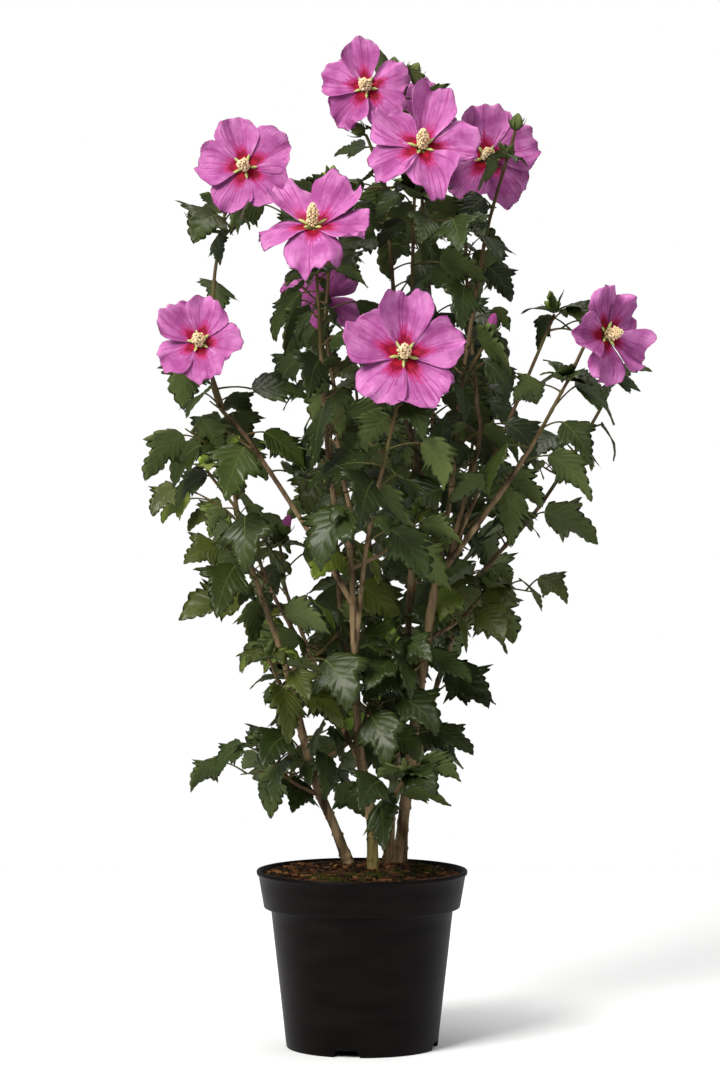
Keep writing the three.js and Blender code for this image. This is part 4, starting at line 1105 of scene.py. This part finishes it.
def petal_shades(draw):
    """Each face's shade, from the dark heart out to the pale rim. The eye is a flame: it reaches
    out by eye x (1 - 0.85 |u|^1.5), and each column adds its own length. A few columns keep
    the vein's colour further out, and the petal is pale along its rim and beside its claw."""
    rows = (np.arange(PETAL_ROWS - 1)[:, None] + 0.5) / (PETAL_ROWS - 1)
    columns = np.abs(np.linspace(-1, 1, PETAL_COLUMNS)[:-1] + 1 / (PETAL_COLUMNS - 1))
    own = np.array([draw() for _ in range(PETAL_COLUMNS - 1)])
    eye = EYE_REACH * (1 - 0.85 * columns ** 1.5) * (0.8 + 0.3 * own)
    steps = [0.5 * eye, 0.74 * eye, 0.9 * eye, eye + 0.02 + 0.07 * own,
             eye + 0.07 + 0.6 * own ** 4]
    shade = sum((rows > step).astype(int) for step in steps)
    pale = ((rows > 0.66 + 0.36 * own) | (columns > 0.8) & (rows < 0.45)) & (shade == PLAIN)
    return np.where(pale, PALE, shade)


def in_frame(flower, local):
    """Points given as across, up and outwards of a flower or bud, put in its own frame."""
    return (flower.centre + local[..., :1] * flower.across + local[..., 1:2] * flower.up
            + local[..., 2:] * flower.normal)


def set_in_frame(flower, part):
    part.points = in_frame(flower, part.points)
    return part


KNOB = SimpleNamespace(count=120, first=0.16, radius=1.2, ring=5.6, tips=5, tip_ring=1.7,
                       tip_height=1.6)
knob_ball = ball(5, 3)


def column_shape(flower):
    """The flower's column: a slim core with knobs up it, each 137.5 degrees on from the last and
    then strayed from its place, and a ring of them at its tip. The knobs stand out by
    ring x (0.7 + 0.3 sin(pi t)) x the root of 1 - 0.7 t^6."""
    length = COLUMN.length * flower.petal
    t = (np.arange(KNOB.count) + 0.5) / KNOB.count
    own_seed = round(flower.petal * 7 + flower.roll)
    draw = number_stream(own_seed)
    stray, uneven, size = np.array([[draw() for _ in range(KNOB.count)] for _ in range(3)])
    t = np.clip(t + 0.05 * (stray - 0.5), 0, 1)
    turn = np.radians(LEAF.turn) * np.arange(KNOB.count) + 0.7 * stray
    uneven = 0.7 + 0.5 * uneven
    round_it = KNOB.ring * uneven * (0.7 + 0.3 * np.sin(np.pi * t)) * np.sqrt(1 - 0.7 * t ** 6)
    height = length * (KNOB.first + (1 - KNOB.first) * t)
    ends = polar(KNOB.tip_ring, around(KNOB.tips), length + KNOB.tip_height)
    centres = np.concatenate([polar(round_it, turn, height), ends])
    sizes = KNOB.radius * np.concatenate([0.75 + 0.6 * size, np.ones(KNOB.tips)])
    local = centres[:, None] + knob_ball.points * sizes[:, None, None]
    knobs = copies(in_frame(flower, local), knob_ball.quads, knob_ball.tris)
    core = lathe([(0, -1), (2.2, -0.5), (2, 3), (0.95 * COLUMN.radius, length * 0.25),
                  (1.1 * COLUMN.radius, length * 0.7), (2, length), (0, length + 1)], 12)
    # The core takes the second, darker finish: painted shade that darkens the gaps between the
    # knobs.
    core.finish = core.finish + 1
    return [knobs, set_in_frame(flower, core)]


def heart_slits(flower):
    """Slender green tips that show between the feet of the petals. Each rises outwards, and its
    radius swells by the sine of the way."""
    turns = flower.roll + 360 / PETAL.count * (np.arange(PETAL.count) + 0.5)
    t = np.linspace(0, 1, 4)
    reach = 3 + 0.2 * flower.petal * t
    height = 0.6 + reach * 0.46
    local = polar(reach, np.radians(turns)[:, None], height)
    radius = 0.4 + 1.3 * np.sin(np.pi * t ** 1.3)
    return tubes(in_frame(flower, local), np.broadcast_to(radius, (PETAL.count, len(t))), 4)


def calyx_shape(flower):
    """A cup with five pointed lobes: its radius swells from the stalk, and the rim rises with
    the fifth turn's cosine."""
    angle = around(RIBBED_SIDES)
    lobe = 0.5 + 0.5 * np.cos(5 * angle)
    rows = [(0.28, -1, 0), (0.6, -0.86, 0), (0.88, -0.62, 0), (1, -0.34, 0),
            (1.06, -0.1, CALYX.lobes)]
    rings = [polar(CALYX.radius * r, angle, CALYX.length * h + rise * lobe)
             for r, h, rise in rows]
    ends = (0, 0, -CALYX.length), (0, 0, -0.1 * CALYX.length)
    return set_in_frame(flower, closed(np.array(rings), *ends))


def bracts(flower, foot, height, seed):
    """Narrow bracts round a calyx: each curves out by a sine and rises from its foot."""
    draw = number_stream(seed)
    t = np.linspace(0, 1, BRACT.steps)
    turns = np.array([360 / BRACT.count * (i + 0.5 * draw()) for i in range(BRACT.count)])
    bend = np.array([0.8 + 0.5 * draw() for _ in range(BRACT.count)])[:, None]
    out = BRACT.ring + BRACT.reach * bend * np.sin(0.5 * np.pi * t) ** 1.2
    up = foot + height * t ** 1.3
    local = polar(out, np.radians(turns)[:, None], up)
    return tubes(in_frame(flower, local), np.broadcast_to(1.0 - 0.85 * t, out.shape), 4)


def bud_shape(bud):
    """A bud with five ribs: a spindle whose radius is the sine of the way up, to a soft power."""
    angle = around(RIBBED_SIDES)
    t = np.linspace(0.04, 0.97, 12)[:, None]
    radius = BUD.radius * np.sin(np.pi * t ** 0.85) ** 0.8 * (1 + 0.1 * np.cos(5 * angle))
    return spindle(bud, radius, angle, BUD.length * t - BUD.sunk)


def rolled_petals(bud):
    """The rolled petals that stand out of an opening bud, with a twist to their folds."""
    angle = around(RIBBED_SIDES)
    t = np.linspace(0, 1, 9)[:, None]
    folds = 1 + 0.13 * np.cos(5 * angle + 2.5 * t)
    radius = 5 * np.sqrt(1.0001 - t ** 2.2) * folds
    return spindle(bud, radius, angle, BUD.length * (0.5 + (0.5 + bud.shows) * t) - BUD.sunk)


def spindle(bud, radius, angle, height):
    """Rings of the given radii at the given heights, closed over each end."""
    rings = polar(radius, angle, height)
    return set_in_frame(bud, closed(rings, (0, 0, height[0, 0]), (0, 0, height[-1, 0])))


petals = [petal_shape(flower, 100 + i) for i, flower in enumerate(plant.flowers)]
add_piece("petals", petals, PETAL_SHADES)
add_piece("bud_petals", [rolled_petals(bud) for bud in plant.buds if bud.shows],
          [PETAL_SHADES[VEINED]])
add_piece("columns", [s for f in plant.flowers for s in column_shape(f)],
          [STAMEN, STAMEN_CORE_SHADE])
add_piece("heart_tips", [heart_slits(flower) for flower in plant.flowers], [HEART_GREEN])
add_piece("calyces", [calyx_shape(flower) for flower in plant.flowers], [CALYX_GREEN])
add_piece("buds", [bud_shape(bud) for bud in plant.buds], [CALYX_GREEN])
add_piece("bracts", [bracts(flower, -CALYX.length + 1, 10, 7 + i)
                     for i, flower in enumerate(plant.flowers)]
          + [bracts(bud, -1, 14, 40 + i) for i, bud in enumerate(plant.buds)],
          [BRACT_GREEN])

# ---------------------------------------------------------------- pot and compost

POT_BLACK = finish("pot_black", (0.0017, 0.001, 0.0009), 0.45, (0.0047, 0.0033, 0.0031), 14,
                   (0.4, 0.75), 0.15, 500, stretch=(1, 1, 3.5), shine=0.06)
COMPOST = finish("compost", (0.014, 0.008, 0.004), 0.95, (0.045, 0.024, 0.01), 60, (0.35, 0.7),
                 0.9, 320, shine=0.05)
CHIPS = [
    finish("chip_dark", (0.012, 0.007, 0.004), 0.9, shine=0.06),
    finish("chip_red", (0.085, 0.034, 0.014), 0.85, shine=0.06),
    finish("chip_tan", (0.14, 0.068, 0.026), 0.85, shine=0.06),
    finish("chip_brown", (0.04, 0.02, 0.009), 0.9, shine=0.06),
]
MOSS = finish("moss", (0.034, 0.038, 0.007), 0.9, (0.02, 0.027, 0.005), 80, shine=0.05)

POT_SIDES = 192


def pot_profile():
    """The wall's section from the middle of the underside round the outside and back inside."""
    collar_foot = POT.height - POT.collar
    lip_foot = POT.height - POT.lip
    body = [(POT.base + (POT.body - POT.base) * t, (collar_foot - POT.shoulder) * t)
            for t in np.linspace(0, 1, 12)]
    body[0] = (POT.base - 0.7, 0)
    return [
        (0, 0), (POT.base - NOTCH.depth - 0.2, 0), (POT.base - NOTCH.depth, 0),
        (POT.base - 4, 0), body[0], (POT.base + 0.1, 1), *body[1:],
        (POT.body + 1.2, collar_foot - 1.4), (POT.collar_foot - 1.4, collar_foot - 0.9),
        (POT.collar_foot - 0.3, collar_foot - 0.3), (POT.collar_foot + 0.1, collar_foot + 1),
        (POT.collar_top - 1.8, collar_foot + 22), (POT.collar_top, lip_foot - 0.6),
        (POT.collar_top + 0.6, lip_foot + 0.3), (POT.rim - 0.4, lip_foot + 0.8),
        (POT.rim, lip_foot + 1.6), (POT.rim, POT.height - 0.8), (POT.rim - 0.6, POT.height),
        (POT.collar_top - POT.wall + 0.6, POT.height),
        (POT.collar_top - POT.wall, POT.height - 0.6),
        (POT.collar_foot - POT.wall, collar_foot + POT.wall),
        (POT.body - POT.wall, collar_foot - POT.shoulder + POT.wall),
        (POT.base + 1 - POT.wall, POT.plinth), (POT.plinth_radius, POT.plinth),
        (POT.plinth_radius - 2, POT.floor), (0, POT.floor)]


def pot_shape():
    """The pot turned round its axis, with the underside and the wall's foot raised to the
    notch's height where the angle lies within a notch."""
    profile = pot_profile()
    pot = lathe(profile, POT_SIDES)
    angle = around(POT_SIDES)
    first = math.radians(NOTCH.first)
    apart = 2 * math.pi / NOTCH.count
    off = np.abs((angle - first + apart / 2) % apart - apart / 2)
    half = NOTCH.width / 2 / POT.base
    height = NOTCH.height * np.clip((half * 1.1 - off) / (half * 0.2), 0, 1)
    rings = pot.points[:-2].reshape(len(profile) - 2, POT_SIDES, 3)
    rows = slice(1, 8)
    rings[rows, :, 2] = np.maximum(rings[rows, :, 2], height)
    return pot


add_piece("pot_shell", [pot_shape()], [POT_BLACK], ["pot"])

SOIL = SimpleNamespace(radius=104.6, rings=46, sides=96, skirt=3, rise=9, bumps=260)
soil_draw = np.random.default_rng(5)
bump_angle = soil_draw.uniform(0, 2 * np.pi, SOIL.bumps)
bump_reach = SOIL.radius * np.sqrt(soil_draw.uniform(0, 1, SOIL.bumps))
bump_place = polar(bump_reach, bump_angle, 0)[:, :2]
bump_size = soil_draw.uniform(2.2, 9, SOIL.bumps)
bump_height = soil_draw.uniform(-1, 2.2, SOIL.bumps)


def soil_height(x, y):
    """The compost's surface: a low mound, plus round bumps, each its height times
    e^(-(distance / size) squared)."""
    gaps = (x[..., None] - bump_place[:, 0]) ** 2 + (y[..., None] - bump_place[:, 1]) ** 2
    bumps = (bump_height * np.exp(-gaps / bump_size ** 2)).sum(-1)
    mound = SOIL.rise * (1 - (x ** 2 + y ** 2) / SOIL.radius ** 2)
    return SOIL_LEVEL + 1 + mound + np.clip(bumps, -1.2, 4)


def soil_shape():
    """A disc of rings whose height is the compost's, closed by a flat underside."""
    reach = SOIL.radius * np.linspace(0, 1, SOIL.rings)[1:, None]
    angle = around(SOIL.sides)
    x, y = reach * np.cos(angle), reach * np.sin(angle)
    z = soil_height(x, y)
    disc = lathe([(0, SOIL_LEVEL - SOIL.skirt), (SOIL.radius, SOIL_LEVEL - SOIL.skirt),
                  *[(r, 0) for r in reach[::-1, 0]], (0, 0)], SOIL.sides)
    rings = disc.points[:-2].reshape(SOIL.rings, SOIL.sides, 3)
    rings[1:, :, 2] = z[::-1]
    disc.points[-1, 2] = soil_height(np.zeros(1), np.zeros(1))[0]
    return disc


def turned(points, draw, tilt):
    """Tilts many small shapes a little about a level line, and turns each about the upright."""
    count = len(points)
    spin = draw.uniform(0, 2 * np.pi, count)
    lean = draw.uniform(-tilt, tilt, count)
    zero, one = np.zeros(count), np.ones(count)
    turn = np.stack([np.cos(spin), -np.sin(spin), zero, np.sin(spin), np.cos(spin), zero,
                     zero, zero, one], -1).reshape(-1, 3, 3)
    tip = np.stack([one, zero, zero, zero, np.cos(lean), -np.sin(lean),
                    zero, np.sin(lean), np.cos(lean)], -1).reshape(-1, 3, 3)
    return np.einsum("nij,njk,nlk->nli", turn, tip, points)


def scattered(count, draw, radius, clusters=None, spread=7):
    """Places on the compost: even over a disc, or gathered round a few given ones."""
    if clusters is None:
        angle = draw.uniform(0, 2 * np.pi, count)
        place = polar(radius * np.sqrt(draw.uniform(0, 1, count)), angle, 0)[:, :2]
    else:
        place = np.array(clusters)[draw.integers(0, len(clusters), count)]
        place = place + draw.normal(0, spread, (count, 2))
    place = place[np.hypot(*place.T) < radius]
    return np.concatenate([place, soil_height(place[:, 0], place[:, 1])[:, None]], -1)


BOX_CORNERS = np.array([(x, y, z) for z in (-1, 1) for y in (-1, 1) for x in (-1, 1)]) / 2
BOX_QUADS = [(0, 2, 3, 1), (4, 5, 7, 6), (0, 1, 5, 4), (2, 6, 7, 3), (0, 4, 6, 2), (1, 3, 7, 5)]


def chip_shapes(count, draw):
    """Chips of bark: boxes of uneven size whose corners are pulled about, lying on the compost."""
    place = scattered(count, draw, SOIL.radius - 6)
    count = len(place)
    size = np.stack([draw.uniform(3, 15, count), draw.uniform(1.6, 6, count),
                     draw.uniform(0.7, 2.6, count)], -1)
    corners = BOX_CORNERS * size[:, None] * draw.uniform(0.6, 1.15, (count, 8, 1))
    points = turned(corners, draw, 0.6) + place[:, None] + UP * size[:, None, 2:] * 0.35
    kinds = draw.choice(len(CHIPS), count, p=[0.44, 0.2, 0.08, 0.28])
    return copies(points, BOX_QUADS, finish=np.repeat(kinds[:, None], 6, 1))


def moss_shapes(count, draw):
    """Moss: small upright three-sided points, gathered in patches."""
    patches = [(-2, -62), (14, -52), (44, -40), (-44, -58), (66, -18), (-30, -78), (60, 40)]
    place = scattered(count, draw, SOIL.radius - 4, patches)
    count = len(place)
    width, height = draw.uniform(0.7, 1.5, count), draw.uniform(1.2, 3.4, count)
    foot = np.array([(1, 0, 0), (-0.5, 0.87, 0), (-0.5, -0.87, 0), (0, 0, 0)])
    points = foot * width[:, None, None]
    points[:, 3, 2] = height
    points[:, :3, 2] = -0.6
    points = turned(points, draw, 0.5) + place[:, None]
    return copies(points, tris=[(0, 2, 1), (0, 1, 3), (1, 2, 3), (2, 0, 3)])


add_piece("compost_top", [soil_shape()], [COMPOST])
add_piece("bark_chips", [chip_shapes(720, soil_draw)], CHIPS, smooth=False)
add_piece("moss_patches", [moss_shapes(1500, soil_draw)], [MOSS], smooth=False)
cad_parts["soil"].data.materials.clear()
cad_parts["soil"].data.materials.append(COMPOST)

# ---------------------------------------------------------------- floor, light and camera

AMBIENT = 0.32
LAMP_COLOUR = (1, 0.965, 0.9)
LAMP_AIM = (0, 0, 0.6)
FLOOR_HALF = 1.5
CAMERA = SimpleNamespace(place=(-0.0021, -4.3, 0.701), pitch=2.283, lens=137.83, sensor=36)


def add_floor():
    material = finish("floor_white", (0.93, 0.95, 0.99), 1, shine=0)
    mesh = bpy.data.meshes.new("floor")
    corners = [(x * FLOOR_HALF, y * FLOOR_HALF, 0) for x, y in ((-1, -1), (1, -1), (1, 1), (-1, 1))]
    mesh.from_pydata(corners, [], [(0, 1, 2, 3)])
    mesh.materials.append(material)
    floor = bpy.data.objects.new("floor", mesh)
    bpy.context.scene.collection.objects.link(floor)


def add_lamp(name, place, size, power):
    light = bpy.data.lights.new(name, "AREA")
    light.energy, light.size, light.color = power, size, LAMP_COLOUR
    lamp = bpy.data.objects.new(name, light)
    lamp.location = place
    way = np.array(LAMP_AIM, float) - np.array(place, float)
    aside = math.hypot(way[0], way[1])
    lamp.rotation_euler = (math.atan2(aside, -way[2]), 0, math.atan2(-way[0], way[1]))
    bpy.context.scene.collection.objects.link(lamp)


def add_world():
    """A white backdrop. The camera sees it at full strength, and it lights the plant with the
    ambient share of that."""
    world = bpy.data.worlds.new("studio")
    world.use_nodes = True
    tree = world.node_tree
    backdrop = tree.nodes["Background"]
    backdrop.inputs["Color"].default_value = (1, 1, 1, 1)
    seen = add_node(tree, "ShaderNodeLightPath", output="Is Camera Ray")
    strength = add_node(tree, "ShaderNodeMath", {"operation": "MULTIPLY_ADD"},
                        {0: seen, 1: 1 - AMBIENT, 2: AMBIENT})
    tree.links.new(strength, backdrop.inputs["Strength"])
    bpy.context.scene.world = world


def add_camera():
    data = bpy.data.cameras.new("camera")
    data.lens, data.sensor_width = CAMERA.lens, CAMERA.sensor
    camera = bpy.data.objects.new("camera", data)
    camera.location = CAMERA.place
    camera.rotation_euler = (math.radians(90 - CAMERA.pitch), 0, 0)
    bpy.context.scene.collection.objects.link(camera)
    bpy.context.scene.camera = camera


add_floor()
add_lamp("key", (-1.8, -2.6, 2.6), 1.5, 200)
add_lamp("fill", (2.6, -2.2, 1.4), 2.2, 17)
add_lamp("top", (0.2, 0.4, 3.2), 1.8, 62)
add_world()
bpy.context.scene.view_settings.view_transform = "Standard"
add_camera()
